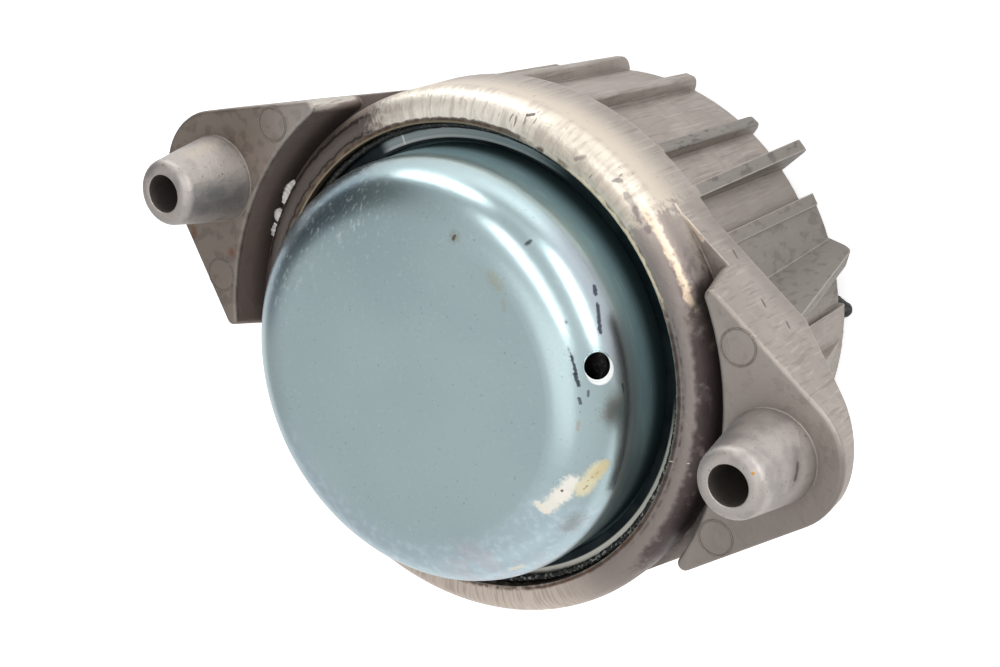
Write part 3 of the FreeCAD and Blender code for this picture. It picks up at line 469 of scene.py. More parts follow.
def cast_aluminium():
    """The housing's material: the layers above, over a metal that is duller under dirt and painted shade."""
    material, tree = new_finish("die_cast_aluminium")
    at = Place(tree)
    shaded_crease, lit_worn_edge, rounded = corners(tree, EDGE_R)
    facing = add(tree, "ShaderNodeTexCoord", out="Normal")
    tilt = add(tree, "ShaderNodeSeparateXYZ", [facing], out="Z")
    tilt = add(tree, "ShaderNodeMath", [tilt], operation="ABSOLUTE")
    upright = add(tree, "ShaderNodeMapRange", [tilt, 0.75, 0.35], **SOFT)
    draw = at.grain(0.7, 3, stretch=(1, 1, 0.05), seed=3)
    blots = at.patches(2.4, 0.5, 0.62, detail=4, seed=11)
    gap = {"r": (50.1, 50.6, 54, 54.5), "z": (56, 58, 67, 67.7)}
    shaded_gap_left = at.zone(**gap, x=below(-22, -14))
    shaded_gap_right = at.zone(**gap, x=above(20, 30), y=below(18, 26))
    # a stroke's end is round, so it starts where that end stays in the pad and in the hole
    bosses = round_bosses(at, PAD_LEVEL + 0.4, BOSS_R, squash=(1, 1, 2))
    # the holes are painted dark brown, which also stands for the shade inside them
    bores = round_bosses(at, HOLE_END + HOLE_R, HOLE_R)
    colour = paint(tree, "#A49B94", [
        *bell_layers(at, upright, draw, blots), *lug_layers(at, blots, shaded_gap_left, shaded_gap_right),
        *ring_layers(at), *boss_layers(at, bosses), ("#4D3A32", 0.9, bores), *marks(at, RUST_AND_KNOCKS),
        *marks(at, SCRIBED_LINE, ragged=0.4), *marks(at, RING_KNOCKS_AND_HIGHLIGHT),
        # painted shade in the creases, and a painted highlight that also stands for wear on outer edges
        ("#453B38", 0.75, shaded_crease), ("#D2CBC1", 0.8, lit_worn_edge)])
    ground = at.zone(wander=(54, 58, 116, 132), z=above(58, 62), r=(43.4, 44.4, 50.2, 50.4))
    rough = add(tree, "ShaderNodeMix", [blots, None, 0.5, 0.44])
    rough = add(tree, "ShaderNodeMix", [bosses, None, rough, 0.5])
    rough = add(tree, "ShaderNodeMix", [ground, None, rough, 0.45])
    # dirt scatters light, so the dirty shoulder is less of a metal, and so is the painted-shade groove
    shoulder = at.zone(wander=(-30, -20, 28, 36), r=(46.6, 47.8, 50.2, 50.5), z=above(55, 60))
    dull = add(tree, "ShaderNodeMath", [shaded_gap_left, shaded_gap_right], operation="MAXIMUM")
    dull = add(tree, "ShaderNodeMath", [dull, shoulder], operation="MAXIMUM")
    metallic = add(tree, "ShaderNodeMapRange", [dull, 0.0, 1.0, 0.88, 0.4])
    # relief: fine grain, blots, drawn lines and the cuts of grinding
    height = add(tree, "ShaderNodeMath", [blots, 0.8, at.grain(0.4, 3, seed=5)], operation="MULTIPLY_ADD")
    drawn = add(tree, "ShaderNodeMath", [draw, upright], operation="MULTIPLY")
    height = add(tree, "ShaderNodeMath", [drawn, 1.0, height], operation="MULTIPLY_ADD")
    cuts = at.grain(0.9, 3, stretch=(1, 0.12, 1), over=at.unrolled, seed=6)
    cuts = add(tree, "ShaderNodeMath", [cuts, ground], operation="MULTIPLY")
    height = add(tree, "ShaderNodeMath", [cuts, 1.2, height], operation="MULTIPLY_ADD")
    return close_finish(material, {"Base Color": colour, "Metallic": metallic, "Roughness": rough},
                        height, strength=0.5, relief=0.07, rounded=rounded)


# %% [markdown]
# ## Blue-bright zinc on drawn steel
# The cap is drawn from sheet steel and plated with zinc, then passivated, which gives the pale
# blue-green tint. Its wall goes down into the groove, and painted shade makes it dark there. A
# painted reflection makes the cap darker and slate at the left. Handling has left scuffs by the
# vent and brown specks. Where fluid dried on the lower corner, a cream layer covers the metal, so
# there the metallic value falls and the surface is dull. The vent is punched through the corner.
# Its wall is painted dark as shade, and a painted highlight gives it a bright crescent at its
# lower side, where the metal is dull too.

# %% Places and marks on the cap
VENT_TURN = math.radians(29.6)
VENT_LEAN = math.radians(37.0)
VENT_R = 2.45
VENT_OUT = Vector((math.cos(VENT_LEAN) * math.cos(VENT_TURN), math.cos(VENT_LEAN) * math.sin(VENT_TURN),
                   math.sin(VENT_LEAN)))
CORNER_R = CAP_R - CAP_CORNER
CORNER_HEART = Vector((CORNER_R * math.cos(VENT_TURN), CORNER_R * math.sin(VENT_TURN), CAP_TOP - CAP_CORNER))
CRESCENT = (33.05, 17.94, 79.15)
CRESCENT_R = 2.56
DRIED_FILM = (  # start, end, half-width, soft edge, colour, strength
    ((33.4, -5.2, 82.3), (31.9, -8.6, 82.7), 1.25, 0.45, "#F3EEE2", 0.9),
    ((34.6, -2.6, 81.7), (33.6, -5.4, 82.3), 1.5, 0.45, "#F5F0E6", 0.9),
    ((31.6, -9.4, 82.8), (30, -8.6, 83.2), 0.7, 0.45, "#F1EADC", 0.9),
    ((37.3, 0.6, 79), (36.2, -3.4, 80.3), 1.55, 0.45, "#E4DAB6", 0.9),
    ((38, 1.6, 78.2), (37.2, -0.4, 79.3), 0.9, 0.45, "#D8CBA0", 0.9),
    ((28.4, -24.1, 79.4), (26.6, -25.4, 79.6), 0.5, 0.45, "#E9E4D2", 0.9),
)
CAP_MARKS = (
    ((2.5, 30.6, 83.4), (2.4, 30, 83.4), 0.3, 0.4, "#4F4136", 0.9),
    ((2.5, 30.4, 83.4), None, 0.85, 1, "#8A7C60", 0.4),
    ((14.4, 33.4, 80.1), (14.8, 34, 79.8), 0.34, 0.4, "#3E3F49", 0.85),
    ((11.2, 26.8, 83.5), (13, 25.8, 83.6), 0.9, 1, "#B7A66C", 0.3),
    ((14.6, 23.5, 83.6), (15, 22.4, 83.6), 0.5, 0.4, "#B59F82", 0.2),
    ((26.2, 29.4, 75.1), (26.7, 28.4, 75.6), 0.42, 0.4, "#343745", 0.9),
    ((28, 27.3, 76.2), (30.4, 23.4, 77.5), 0.36, 0.4, "#343745", 0.9),
    ((25.7, 24.2, 81.3), None, 0.24, 0.4, "#4F5058", 0.7),
    ((27.6, 20.6, 82.2), (28.8, 19, 81.9), 0.18, 0.4, "#6E6A60", 0.6),
    ((28.6, 19.2, 81.9), (30.2, 16.8, 81.9), 0.24, 0.4, "#353A48", 0.9),
    ((30, 16.6, 82), (31.2, 15, 81.8), 0.32, 0.4, "#353A48", 0.9),
    ((32.8, 14.3, 81), (33, 13.6, 81), 0.22, 0.4, "#4A4B55", 0.7),
    ((32, 12.8, 82), (32.4, 12.1, 81.9), 0.28, 0.4, "#4C4A4E", 0.8),
    ((33, 8.8, 82.1), (33.2, 7.6, 82.1), 0.32, 0.4, "#C08A6A", 0.3),
    ((36.6, 12.6, 77.2), (35.8, 10.6, 78.4), 1.2, 1, "#8B7A68", 0.45),
    ((36, 15.4, 75.6), (37, 13.6, 75.4), 0.22, 0.4, "#4C4D55", 0.7),
    ((33.5, -4.4, 82.4), None, 0.3, 0.4, "#3C2E22", 0.95),
    ((37.4, 0.2, 78.9), (36.4, -1.8, 80), 0.18, 0.4, "#7A5C3A", 0.85),
    ((36.6, -2.6, 79.8), (36.2, -3.4, 80.2), 0.18, 0.4, "#80633F", 0.8),
    ((35.9, -10.6, 79), (35.3, -12, 79.4), 1.6, 1, "#8F857B", 0.45),
)


# %% Colours of the plating and of the vent
def plating_layers(at, low_corner, high_left, wall, scuffs):
    """Cloudy plating, bluer in the corner; painted reflection at the left, painted shade in the groove."""
    mauve = at.zone(angle=(-70, -58, -40, -28))
    return [
        ("#B1C6CA", 0.5, at.patches(20, 0.35, 0.65, detail=1)),
        # painted reflection: the top is darker at the upper left
        ("#9DB2B6", 0.8, at.zone(x=below(-30, 10), y=above(0, 30))),
        ("#C5D6D8", 0.4, at.patches(0.7, 0.6, 0.72, detail=1.5, seed=31)),
        ("#8FA3A6", 0.5, at.patches(0.6, 0.71, 0.77, detail=1, seed=35)),
        ("#BFD3DC", 0.7, low_corner),
        ("#D3E4EC", 0.6, low_corner, at.patches(1.6, 0.45, 0.65, detail=3, seed=37)),
        ("#C9C4CC", 0.4, low_corner, mauve, at.patches(4, 0.45, 0.6, seed=39)),
        # painted reflection: slate on the corner and the wall at the left
        ("#73899A", 0.6, at.zone(x=below(-24, -16), y=above(-8, 2), r=above(29.5, 34))),
        ("#8B9A9E", 0.5, at.zone(x=below(-24, -14), z=(70, 72, 77.5, 79))),
        ("#8B8894", 0.55, at.zone(angle=(18, 32, 58, 74), z=(72.5, 74.5, 76.8, 78.4))),
        ("#D9E6E8", 0.4, high_left, scuffs),
        # painted shade: the wall is darker teal down into the groove
        ("#84AAB0", 0.75, wall),
        ("#B5D0D4", 0.35, wall, at.patches(0.8, 0.5, 0.7, detail=3, stretch=(0.12, 0.12, 1), seed=9)),
        # painted shade: darker still at the right and darkest at the wall's foot
        ("#5D6567", 0.75, wall, at.zone(angle=below(-8, 18))),
        ("#35484C", 0.85, at.zone(z=below(64.6, 68.4))),
    ]


def vent_masks(at):
    """A painted highlight, the bright crescent, and painted shade, the dark wall below the vent's rim."""
    crescent = at.stroke(CRESCENT, None, CRESCENT_R, ragged=0, edge=0.06)
    at.depth = add(at.tree, "ShaderNodeVectorMath", [at.point, tuple(VENT_OUT)], out="Value",
                   operation="DOT_PRODUCT")
    rim = CORNER_HEART.dot(VENT_OUT) + CAP_CORNER
    wall = add(at.tree, "ShaderNodeMath", [
        at.stroke(CORNER_HEART, CORNER_HEART + VENT_OUT * CAP_CORNER, VENT_R + 0.05, ragged=0, edge=0.02),
        at.zone(depth=below(rim - 0.56, rim - 0.44))], operation="MULTIPLY")
    return crescent, wall


# %% Finish of the cap
def zinc_cap():
    """The cap: bright metal, duller where fluid dried, on scuffs, on the wall and at the painted crescent."""
    material, tree = new_finish("blue_bright_zinc_steel")
    at = Place(tree)
    at.ragged = at.grain(0.5, 4, seed=47)
    scuffs = at.patches(0.7, 0.54, 0.7, detail=3, stretch=(1, 0.5, 1), seed=43)
    low_corner = at.zone(angle=(-150, -128, -18, -4), r=above(27.5, 31), z=above(73.5, 76.5))
    high_left = at.zone(angle=(108, 122, 176, 179), r=above(25, 30), z=above(74, 77))
    wall = at.zone(z=below(69.5, 75))
    crescent, vent_wall = vent_masks(at)
    dried = marks(at, DRIED_FILM, ragged=1.5)
    # painted highlight: the white crescent at the vent; painted shade: the vent's black wall
    colour = paint(tree, "#BBCFD2", [
        *plating_layers(at, low_corner, high_left, wall, scuffs), *dried,
        *marks(at, CAP_MARKS, ragged=2.2), ("#F6F9F8", 0.95, crescent), ("#0E0F10", 1.0, vent_wall)])
    # the dull mask holds the dried fluid and also the painted crescent highlight
    dull_mask = crescent
    for _, _, mask in dried:
        dull_mask = add(tree, "ShaderNodeMath", [dull_mask, mask], operation="MAXIMUM")
    rough = add(tree, "ShaderNodeMix", [wall, None, 0.27, 0.42])
    rough = add(tree, "ShaderNodeMix", [low_corner, None, rough, 0.38])
    rough = add(tree, "ShaderNodeMix", [dull_mask, None, rough, 0.6])
    frost = add(tree, "ShaderNodeMath", [high_left, scuffs], operation="MULTIPLY")
    for mask, share in ((frost, 0.28), (wall, 0.3)):
        part = add(tree, "ShaderNodeMath", [mask, share], operation="MULTIPLY")
        dull_mask = add(tree, "ShaderNodeMath", [dull_mask, part], operation="MAXIMUM")
    metallic = add(tree, "ShaderNodeMapRange", [dull_mask, 0.0, 1.0, 1.0, 0.15])
    return close_finish(material, {"Base Color": colour, "Metallic": metallic, "Roughness": rough},
                        at.grain(0.5, 3, seed=7), strength=0.3, relief=0.02)


# %% [markdown]
# ## Plain steel, aluminium and rubber
# The clamping ring, the spring's ring and the stop plate are steel with a thin grey coat. The
# core and the halves of the channel are turned from aluminium. The clamping ring lies in the
# groove: its dark colour is painted shade, and its lighter stretches are painted highlights, but
# for one scratch. The torn flakes are darker outside as painted shade. The rubber is vulcanised
# and black with carbon: its gloss is broad, and pale bloom and dust sit on it. Metal and rubber
# have one recipe each, and every finish gives it its own colours.

# %% Recipes for plain metal and for rubber
def ringed_metal(name, dark, pale, rough, wear_light_and_shade=()):
    """Metal with fine lines round the axis, and more colours in zones of wear, painted shade and highlight.
    """
    material, tree = new_finish(name)
    at = Place(tree)
    turning = at.grain(0.45, 3, stretch=(0.06, 1, 1), over=at.unrolled)
    lines = add(tree, "ShaderNodeMapRange", [turning, 0.5, 0.7], **SOFT)
    colour = paint(tree, dark, [
        (pale, 1, at.patches(6, 0.35, 0.65, detail=4)),
        (dark, 0.4, lines),
        *((code, strength, at.zone(**limits)) for code, strength, limits in wear_light_and_shade)])
    gloss = add(tree, "ShaderNodeMapRange", [turning, 0.3, 0.7, rough, rough + 0.1])
    rounded = add(tree, "ShaderNodeBevel", {"Radius": 0.2 * MM}, samples=4)
    return close_finish(material, {"Base Color": colour, "Metallic": 1.0, "Roughness": gloss},
                        turning, strength=0.4, relief=0.03, rounded=rounded)


def black_rubber(name, dusty=None):
    """Vulcanised rubber with a little bloom, and far more of it inside a dusty zone."""
    material, tree = new_finish(name)
    at = Place(tree)
    specks = at.patches(0.6, 0.55, 0.63, detail=1.5, seed=17)
    bloom = [("#B4B8AE", 0.12, specks)]
    if dusty:
        bloom.append(("#B4B8AE", 0.55, specks, at.zone(**dusty)))
    colour = paint(tree, "#1B1B1C", [("#2B2A2A", 1, at.patches(5, 0.4, 0.7, detail=4)), *bloom])
    gloss = add(tree, "ShaderNodeMapRange", [at.grain(5, 4), 0.3, 0.7, 0.45, 0.62])
    return close_finish(material, {"Base Color": colour, "Roughness": gloss, "IOR": 1.52},
                        at.grain(0.35, 3, seed=13), strength=0.5, relief=0.06)


# %% Make all finishes
casting = cast_aluminium()
plated = zinc_cap()
# the dark base is painted shade in the groove; the lighter stretches are painted highlights, and the narrow
# one near 126.5 degrees is a scratch
clamp_steel = ringed_metal("shaded_zinc_steel", "#1E2527", "#2D3537", 0.36, (
    ("#A3AEB0", 0.9, {"r": (40.8, 41.3, 43.8, 44.4), "angle": (74, 92, 131, 135)}),
    ("#D5DAD8", 0.7, {"r": (40.6, 40.8, 41.1, 41.3), "angle": (74, 92, 131, 135)}),
    ("#E6E8E2", 0.9, {"r": above(40.6, 41), "angle": (126.3, 126.6, 126.8, 127.1)}),
    ("#D3D2C8", 0.95, {"r": (41.5, 41.8, 43.0, 43.3), "angle": (-88, -76, 2, 16)})))
plate_steel = ringed_metal("phosphated_steel", "#5C5D60", "#727376", 0.42)
# painted shade: the flakes are darker at their outer part
torn_metal = ringed_metal("torn_aluminium", "#CFCAC7", "#F4F2F0", 0.45, (
    ("#7C716C", 0.8, {"r": above(49.55, 50.05)}),))
turned_metal = ringed_metal("turned_aluminium", "#A5A4A2", "#BAB9B7", 0.28)
plain_rubber = black_rubber("natural_rubber")
torn_rubber = black_rubber("squeezed_rubber", {"angle": below(30, 100)})
print("finishes:", [m.name for m in bpy.data.materials])

# %% [markdown]
# ## Finishes on the CAD pieces
# A CAD piece keeps its mesh, and only its material changes. Smooth shading comes with the
# imported normals, so flats stay flat and turned faces stay round.

# %% Give each CAD piece its finish
FINISHES = {
    "housing": casting, "cap": plated, "clamp_ring": clamp_steel, "spring_ring": plate_steel,
    "stop_plate": plate_steel, "core": turned_metal, "channel_plate": turned_metal,
    "channel_cover": turned_metal, "diaphragm": plain_rubber, "decoupler_disc": plain_rubber,
    "main_spring": plain_rubber,
}
for name, material in FINISHES.items():
    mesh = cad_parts[name].data
    mesh.materials.clear()
    mesh.materials.append(material)
    for face in mesh.polygons:
        face.material_index = 0

# %% [markdown]
# ## Geometry trees
# What repeats round the part is grown by a geometry tree: a curve or a row of points, one shape
# set on each point, and a turn and a size for each copy. `new_tree` gives a tree with named
# inputs, and `grow` runs it once and keeps the plain mesh. `settled` takes the finished mesh
# from a helper object and removes that object.

# %% Helpers for geometry trees
def new_tree(name, sockets):
    """A geometry tree with named inputs; returns the tree and its inputs by name."""
    tree = bpy.data.node_groups.new(name, "GeometryNodeTree")
    tree.interface.new_socket("Geometry", in_out="OUTPUT", socket_type="NodeSocketGeometry")
    for label, kind in sockets.items():
        tree.interface.new_socket(label, in_out="INPUT", socket_type=f"NodeSocket{kind}")
    start = tree.nodes.new("NodeGroupInput")
    return tree, {label: start.outputs[label] for label in sockets}


def close_tree(tree, shape, material):
    """Ends a tree: plain geometry with one material."""
    real = add(tree, "GeometryNodeRealizeInstances", [shape])
    done = add(tree, "GeometryNodeSetMaterial", {"Geometry": real, "Material": material})
    tree.links.new(done, tree.nodes.new("NodeGroupOutput").inputs[0])


def source_object(name, data):
    """A helper object for a shape that is still worked out."""
    source = bpy.data.objects.new(f"{name}_source", data)
    scene.collection.objects.link(source)
    return source


def settled(source):
    """The final mesh of a helper object, which is removed."""
    ready = source.evaluated_get(bpy.context.evaluated_depsgraph_get())
    mesh = bpy.data.meshes.new_from_object(ready)
    bpy.data.objects.remove(source)
    return mesh


def keep(mesh, name):
    """Makes an object of a mesh, on the part's one body."""
    piece = bpy.data.objects.new(name, mesh)
    scene.collection.objects.link(piece)
    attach(piece, "root")
    print(f"{name}: {len(mesh.polygons)} faces")
    return piece


def grow(name, tree, values):
    """Runs a tree with its values and keeps the result as a plain mesh."""
    source = source_object(name, bpy.data.meshes.new(f"{name}_source"))
    modifier = source.modifiers.new("grow", "NODES")
    modifier.node_group = tree
    for item in tree.interface.items_tree:
        if item.in_out == "INPUT":
            modifier[item.identifier] = values[item.name]
    return keep(settled(source), name)


# %% [markdown]
# ## The squeezed seal
# A rubber ring lies under the rolled edge. Rolling squeezed it up and tore it, so what shows is
# a black, ragged bead in the joint. A circle swept with a small profile gives the bead, noise
# moves its points, and torn crumbs are set along it with turns and sizes from a fixed seed.

# %% Grow the seal
def seal_tree():
    tree, size = new_tree("seal_bead", {
        "Radius": "Float", "Level": "Float", "Thickness": "Float", "Waviness": "Float",
        "Crumbs": "Int", "Crumb Size": "Float", "Seed": "Int"})
    ring = add(tree, "GeometryNodeCurvePrimitiveCircle", {"Resolution": 360, "Radius": size["Radius"]})
    lift = add(tree, "ShaderNodeCombineXYZ", {"Z": size["Level"]})
    ring = add(tree, "GeometryNodeTransform", {"Geometry": ring, "Translation": lift})
    profile = add(tree, "GeometryNodeCurvePrimitiveCircle", {
        "Resolution": 10, "Radius": size["Thickness"]})
    bead = add(tree, "GeometryNodeCurveToMesh", {
        "Curve": ring, "Profile Curve": profile, "Fill Caps": False})
    here = add(tree, "GeometryNodeInputPosition")
    waves = add(tree, "ShaderNodeTexNoise", {
        "Vector": here, "Scale": 1 / (1.3 * MM), "Detail": 2.0}, out="Color")
    shift = add(tree, "ShaderNodeVectorMath", [waves, (0.5, 0.5, 0.5)], operation="SUBTRACT")
    shift = add(tree, "ShaderNodeVectorMath", {0: shift, "Scale": size["Waviness"]}, operation="SCALE")
    bead = add(tree, "GeometryNodeSetPosition", {"Geometry": bead, "Offset": shift})
    points = add(tree, "GeometryNodeCurveToPoints", {"Curve": ring, "Count": size["Crumbs"]}, mode="COUNT")
    crumb = add(tree, "GeometryNodeMeshIcoSphere", {"Radius": size["Crumb Size"], "Subdivisions": 1})
    turn = add(tree, "FunctionNodeRandomValue", {
        0: (-3.1, -3.1, -3.1), 1: (3.1, 3.1, 3.1), "Seed": size["Seed"]}, data_type="FLOAT_VECTOR")
    grown = add(tree, "FunctionNodeRandomValue", {
        0: (0.4, 0.4, 0.5), 1: (1.0, 1.5, 1.6), "Seed": size["Seed"]}, data_type="FLOAT_VECTOR")
    crumbs = add(tree, "GeometryNodeInstanceOnPoints", {
        "Points": points, "Instance": crumb, "Rotation": turn, "Scale": grown})
    both = add(tree, "GeometryNodeJoinGeometry", [bead])
    tree.links.new(crumbs, both.node.inputs[0])
    close_tree(tree, both, torn_rubber)
    return tree


seal = grow("seal_bead", seal_tree(), {
    "Radius": 43.15 * MM, "Level": 63.7 * MM, "Thickness": 0.6 * MM, "Waviness": 0.5 * MM,
    "Crumbs": 300, "Crumb Size": 0.42 * MM, "Seed": 4})
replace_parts(seal, "seal_ring")

# %% [markdown]
# ## Ejector marks
# Pins push the casting out of its die, and each leaves a round mark with a fine raised edge.
# Four show on the lug seats. A ring mesh set on each point gives the raised edges.

# %% Grow the ejector marks
def ejector_tree():
    tree, size = new_tree("ejector_marks", {
        "Level": "Float", "Mark Radius": "Float", "Edge": "Float"})
    ring = add(tree, "GeometryNodeCurvePrimitiveCircle", {"Resolution": 72, "Radius": size["Mark Radius"]})
    profile = add(tree, "GeometryNodeCurvePrimitiveCircle", {"Resolution": 8, "Radius": size["Edge"]})
    mark = add(tree, "GeometryNodeCurveToMesh", {"Curve": ring, "Profile Curve": profile})
    both = add(tree, "GeometryNodeJoinGeometry", out=None)
    for x, y in EJECTOR_MARKS:
        for side in (-1, 1):
            spot = add(tree, "ShaderNodeCombineXYZ", [side * x * MM, y * MM, size["Level"]])
            point = add(tree, "GeometryNodePoints", {"Count": 1, "Position": spot})
            shape = add(tree, "GeometryNodeInstanceOnPoints", {"Points": point, "Instance": mark})
            tree.links.new(shape, both.inputs[0])
    close_tree(tree, both.outputs[0], casting)
    return tree


grow("ejector_marks", ejector_tree(), {
    "Level": PAD_LEVEL * MM, "Mark Radius": EJECTOR_R * MM, "Edge": 0.08 * MM})

# %% [markdown]
# ## Burrs on the rolled edge
# The rolling tool has torn three flakes of fresh metal out of the ring's left shoulder. They
# stand out over the gap beside the lug. Each is a thin ragged strip along the ring, made point
# by point from a fixed seed.

# %% Tear the burrs
BURRS = ((159.6, 166.2, 0.95), (167.8, 171.2, 1.05), (171.8, 175.0, 0.3))  # two angles, reach
BURR_STEP = 0.35
ROOT_R = 48.7
SHOULDER_R = 49.3
BURR_LEVEL = 64.9
BURR_THICKNESS = 0.22
BURR_SEED = 8


def ring_burrs():
    draw = random.Random(BURR_SEED)
    shape = bmesh.new()
    for first, last, reach in BURRS:
        steps = round((last - first) / BURR_STEP)
        rows = []
        for step in range(steps + 1):
            turn = math.radians(first + (last - first) * step / steps)
            # a flake is widest in its middle
            bulge = math.sin(math.pi * (step + 0.2) / (steps + 0.4)) ** 1.2
            inner = ROOT_R - draw.uniform(0.0, 0.35)
            outer = SHOULDER_R + reach * bulge * draw.uniform(0.75, 1.05)
            level = BURR_LEVEL + draw.uniform(-0.12, 0.12)
            section = ((inner, BURR_LEVEL + 0.12), (outer, level), (outer, level - BURR_THICKNESS),
                       (inner, BURR_LEVEL - 0.2))
            rows.append([shape.verts.new((r * math.cos(turn) * MM, r * math.sin(turn) * MM, z * MM))
                         for r, z in section])
        for one, two in zip(rows, rows[1:]):
            for k in range(4):
                shape.faces.new((one[k], one[(k + 1) % 4], two[(k + 1) % 4], two[k]))
        shape.faces.new(rows[0])
        shape.faces.new(rows[-1][::-1])
    bmesh.ops.recalc_face_normals(shape, faces=shape.faces)
    mesh = bpy.data.meshes.new("ring_burrs")
    shape.to_mesh(mesh)
    shape.free()
    mesh.materials.append(torn_metal)
    return keep(mesh, "ring_burrs")


ring_burrs()

# %% [markdown]
# ## Rubber that was moulded
# The buffer under the bell and the rubber of the rebound stop are soft mouldings. The CAD
# solids hold their space, and a voxel remesh of a merged copy rounds their edges the way a
# mould with worn corners does.

# %% Soften the moulded rubber
VOXEL = 0.5
SMOOTHING = 3


def softened(node, name):
    """A rounded copy of a CAD solid."""
    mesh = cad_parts[node].data.copy()
    shape = bmesh.new()
    shape.from_mesh(mesh)
    bmesh.ops.remove_doubles(shape, verts=shape.verts, dist=0.001 * MM)
    shape.to_mesh(mesh)
    shape.free()
    source = source_object(name, mesh)
    remesh = source.modifiers.new("voxels", "REMESH")
    remesh.mode = "VOXEL"
    remesh.voxel_size = VOXEL * MM
    smooth = source.modifiers.new("smooth", "SMOOTH")
    smooth.iterations = SMOOTHING
    result = settled(source)
    result.materials.clear()
    result.materials.append(plain_rubber)
    result.shade_smooth()
    return keep(result, name)


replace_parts(softened("end_buffer", "moulded_buffer"), "end_buffer")
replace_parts(softened("stop_rubber", "moulded_stop"), "stop_rubber")

# %% [markdown]
# ## The punched edge of the vent
# The vent goes through the cap's corner, and its punched edge catches the light as a thin
# bright line. The line lies where the punch's cylinder meets the corner's torus, so it is found
# there point by point and given a small round section.

# %% Raise the vent's edge
VENT_STEPS = 48
EDGE_LINE_R = 0.17
HALVINGS = 40


def rim_point(start):
    """Where a line from start, along the vent, leaves the corner's torus, found by halving."""
    near, far = 4.0, 20.0
    for _ in range(HALVINGS):
        half = (near + far) / 2
        point = start + VENT_OUT * half
        off_ring = math.hypot(point.x, point.y) - CORNER_R
        inside = math.hypot(off_ring, point.z - CORNER_HEART.z) < CAP_CORNER
        near, far = (half, far) if inside else (near, half)
    return start + VENT_OUT * near


def vent_edge():
    side = Vector((-math.sin(VENT_TURN), math.cos(VENT_TURN), 0))
    rise = VENT_OUT.cross(side)
    curve = bpy.data.curves.new("vent_edge", "CURVE")
    curve.dimensions = "3D"
    curve.bevel_depth = EDGE_LINE_R * MM
    curve.bevel_resolution = 2
    line = curve.splines.new("POLY")
    line.points.add(VENT_STEPS - 1)
    for step, spot in enumerate(line.points):
        angle = step / VENT_STEPS * math.tau
        start = CORNER_HEART + side * (VENT_R * math.cos(angle)) + rise * (VENT_R * math.sin(angle))
        spot.co = (*(rim_point(start) * MM), 1)
    line.use_cyclic_u = True
    mesh = settled(source_object("vent_edge", curve))
    mesh.materials.clear()
    mesh.materials.append(plated)
    mesh.shade_smooth()
    return keep(mesh, "vent_edge")


vent_edge()

# %% [markdown]
# ## Floor, light and camera
# The part stands on a pale floor that glows a little where the camera or a reflection sees it.
# The world is a dim grey, a little brighter above and at the right, and white only to the
# camera. Three long soft boxes beyond the top of the picture draw the paired highlight on the
# cap's corner and light the ground ring. Two faint ones on that side soften the highlight and
# brighten the floor that the corner mirrors. A broad one overhead and a low one on the other
# side fill the rest. The numbers here are in metres.

# %% Floor
def pale_floor():
    material, tree = new_finish("pale_floor")
    paths = add(tree, "ShaderNodeLightPath", out=None)
    seen = add(tree, "ShaderNodeMath", [paths.outputs["Is Camera Ray"], 0.6], operation="MULTIPLY")
    seen = add(tree, "ShaderNodeMath", [paths.outputs["Is Glossy Ray"], 0.22, seen], operation="MULTIPLY_ADD")
    pale = add(tree, "ShaderNodeBsdfDiffuse", {"Color": linear("#F2F2F2")})
    glow = add(tree, "ShaderNodeEmission", {"Color": (1, 1, 1, 1), "Strength": seen})
    add(tree, "ShaderNodeOutputMaterial", [add(tree, "ShaderNodeAddShader", [pale, glow])], out=None)
    return material


FLOOR_HALF = 1.5
FLOOR_DROP = 0.0002
mesh = bpy.data.meshes.new("floor")
shape = bmesh.new()
bmesh.ops.create_grid(shape, x_segments=1, y_segments=1, size=FLOOR_HALF)
shape.to_mesh(mesh)
shape.free()
floor = bpy.data.objects.new("floor", mesh)
floor.location.z = -FLOOR_DROP
scene.collection.objects.link(floor)
mesh.materials.append(pale_floor())

# %% World
BRIGHT_SIDE = (0.50, -0.20, 0.84)
CARD_SIDE = (-0.96, 0.12, 0.25)
world = bpy.data.worlds.new("studio")
scene.world = world
world.use_nodes = True
sky = world.node_tree
sky.nodes.clear()
direction = add(sky, "ShaderNodeTexCoord", out="Generated")
facing = add(sky, "ShaderNodeVectorMath", [direction, BRIGHT_SIDE], out="Value", operation="DOT_PRODUCT")
strength = add(sky, "ShaderNodeMapRange", [facing, -0.6, 1.0, 0.42, 0.76])
# a dark card stands at the left and gives the cap's upper left corner its slate edge
card = add(sky, "ShaderNodeVectorMath", [direction, CARD_SIDE], out="Value", operation="DOT_PRODUCT")
card = add(sky, "ShaderNodeMapRange", [card, 0.80, 0.95, 1.0, 0.3], **SOFT)
strength = add(sky, "ShaderNodeMath", [strength, card], operation="MULTIPLY")
paths = add(sky, "ShaderNodeLightPath", out="Is Camera Ray")
strength = add(sky, "ShaderNodeMix", [paths, None, strength, 1.0])
add(sky, "ShaderNodeOutputWorld", [add(sky, "ShaderNodeBackground", {
    "Color": linear("#FFFFFF"), "Strength": strength})], out=None)

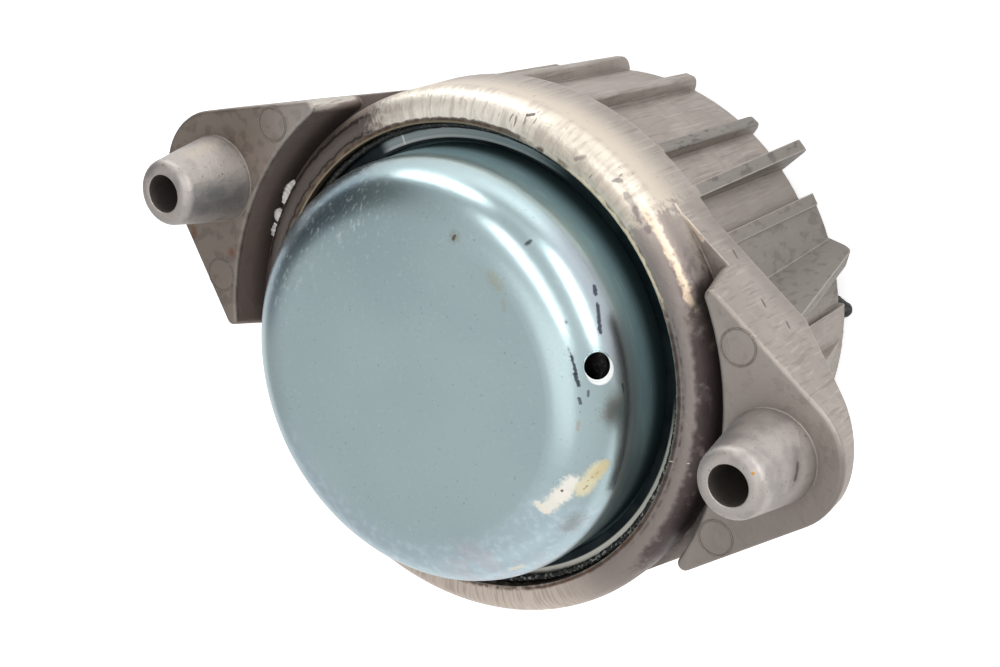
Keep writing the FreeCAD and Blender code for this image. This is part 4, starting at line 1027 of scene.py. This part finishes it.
# %% Soft boxes
PART = (0, 0, 0.06)
FLOOR_BEHIND = (0.03, 0.27, 0)
SOFT_BOXES = (  # name, start, end, aim, height, power in watts
    ("high_right", (-0.20, 0.69, 0.69), (0.43, 0.28, 0.86), PART, 0.10, 1.5),
    ("back_left", (-0.78, 0.52, 0.06), (-0.30, 0.88, 0.30), PART, 0.12, 1.8),
    ("back_right", (0.30, 0.86, 0.20), (0.82, 0.46, 0.30), PART, 0.16, 2.2),
    ("back_haze", (-0.15, 0.97, 0.22), (0.30, 0.90, 0.30), PART, 0.12, 0.10),
    ("behind_floor", (-0.10, 0.27, 0.07), (0.16, 0.27, 0.07), FLOOR_BEHIND, 0.08, 0.12),
    ("overhead", (-0.20, -0.10, 1.0), (0.50, -0.10, 1.0), PART, 0.6, 0.7),
    ("front_low", (-0.25, -0.92, 0.30), (0.62, -0.78, 0.34), PART, 0.3, 0.3),
)


def soft_box(name, start, end, aim, height, power):
    """A long lamp between two points, turned about its length to face the aim."""
    middle = (Vector(start) + Vector(end)) / 2
    along = (Vector(end) - Vector(start)).normalized()
    away = middle - Vector(aim)
    away = (away - along * away.dot(along)).normalized()
    lamp = bpy.data.lights.new(name, "AREA")
    lamp.shape = "RECTANGLE"
    lamp.size, lamp.size_y = (Vector(end) - Vector(start)).length, height
    lamp.energy = power
    item = bpy.data.objects.new(name, lamp)
    item.matrix_world = Matrix.Translation(middle) @ Matrix(
        (along, away.cross(along), away)).transposed().to_4x4()
    scene.collection.objects.link(item)


for box in SOFT_BOXES:
    soft_box(*box)
print("lamps:", len(SOFT_BOXES))

# %% Camera
CAMERA_PLACE = (0.1536, 0.1561, 0.3356)
CAMERA_RIGHT = (0.8038, 0.2108, -0.5564)
CAMERA_UP = (-0.4077, 0.8763, -0.2569)
right = Vector(CAMERA_RIGHT).normalized()
back = right.cross(Vector(CAMERA_UP)).normalized()
up = back.cross(right)
camera = bpy.data.objects.new("camera", bpy.data.cameras.new("camera"))
camera.matrix_world = Matrix.Translation(CAMERA_PLACE) @ Matrix(
    (right, up, back)).transposed().to_4x4()
camera.data.lens = 68.34
camera.data.sensor_width = 36.0
camera.data.clip_start = 0.01
scene.collection.objects.link(camera)
scene.camera = camera

# %% Update the scene
bpy.context.view_layer.update()
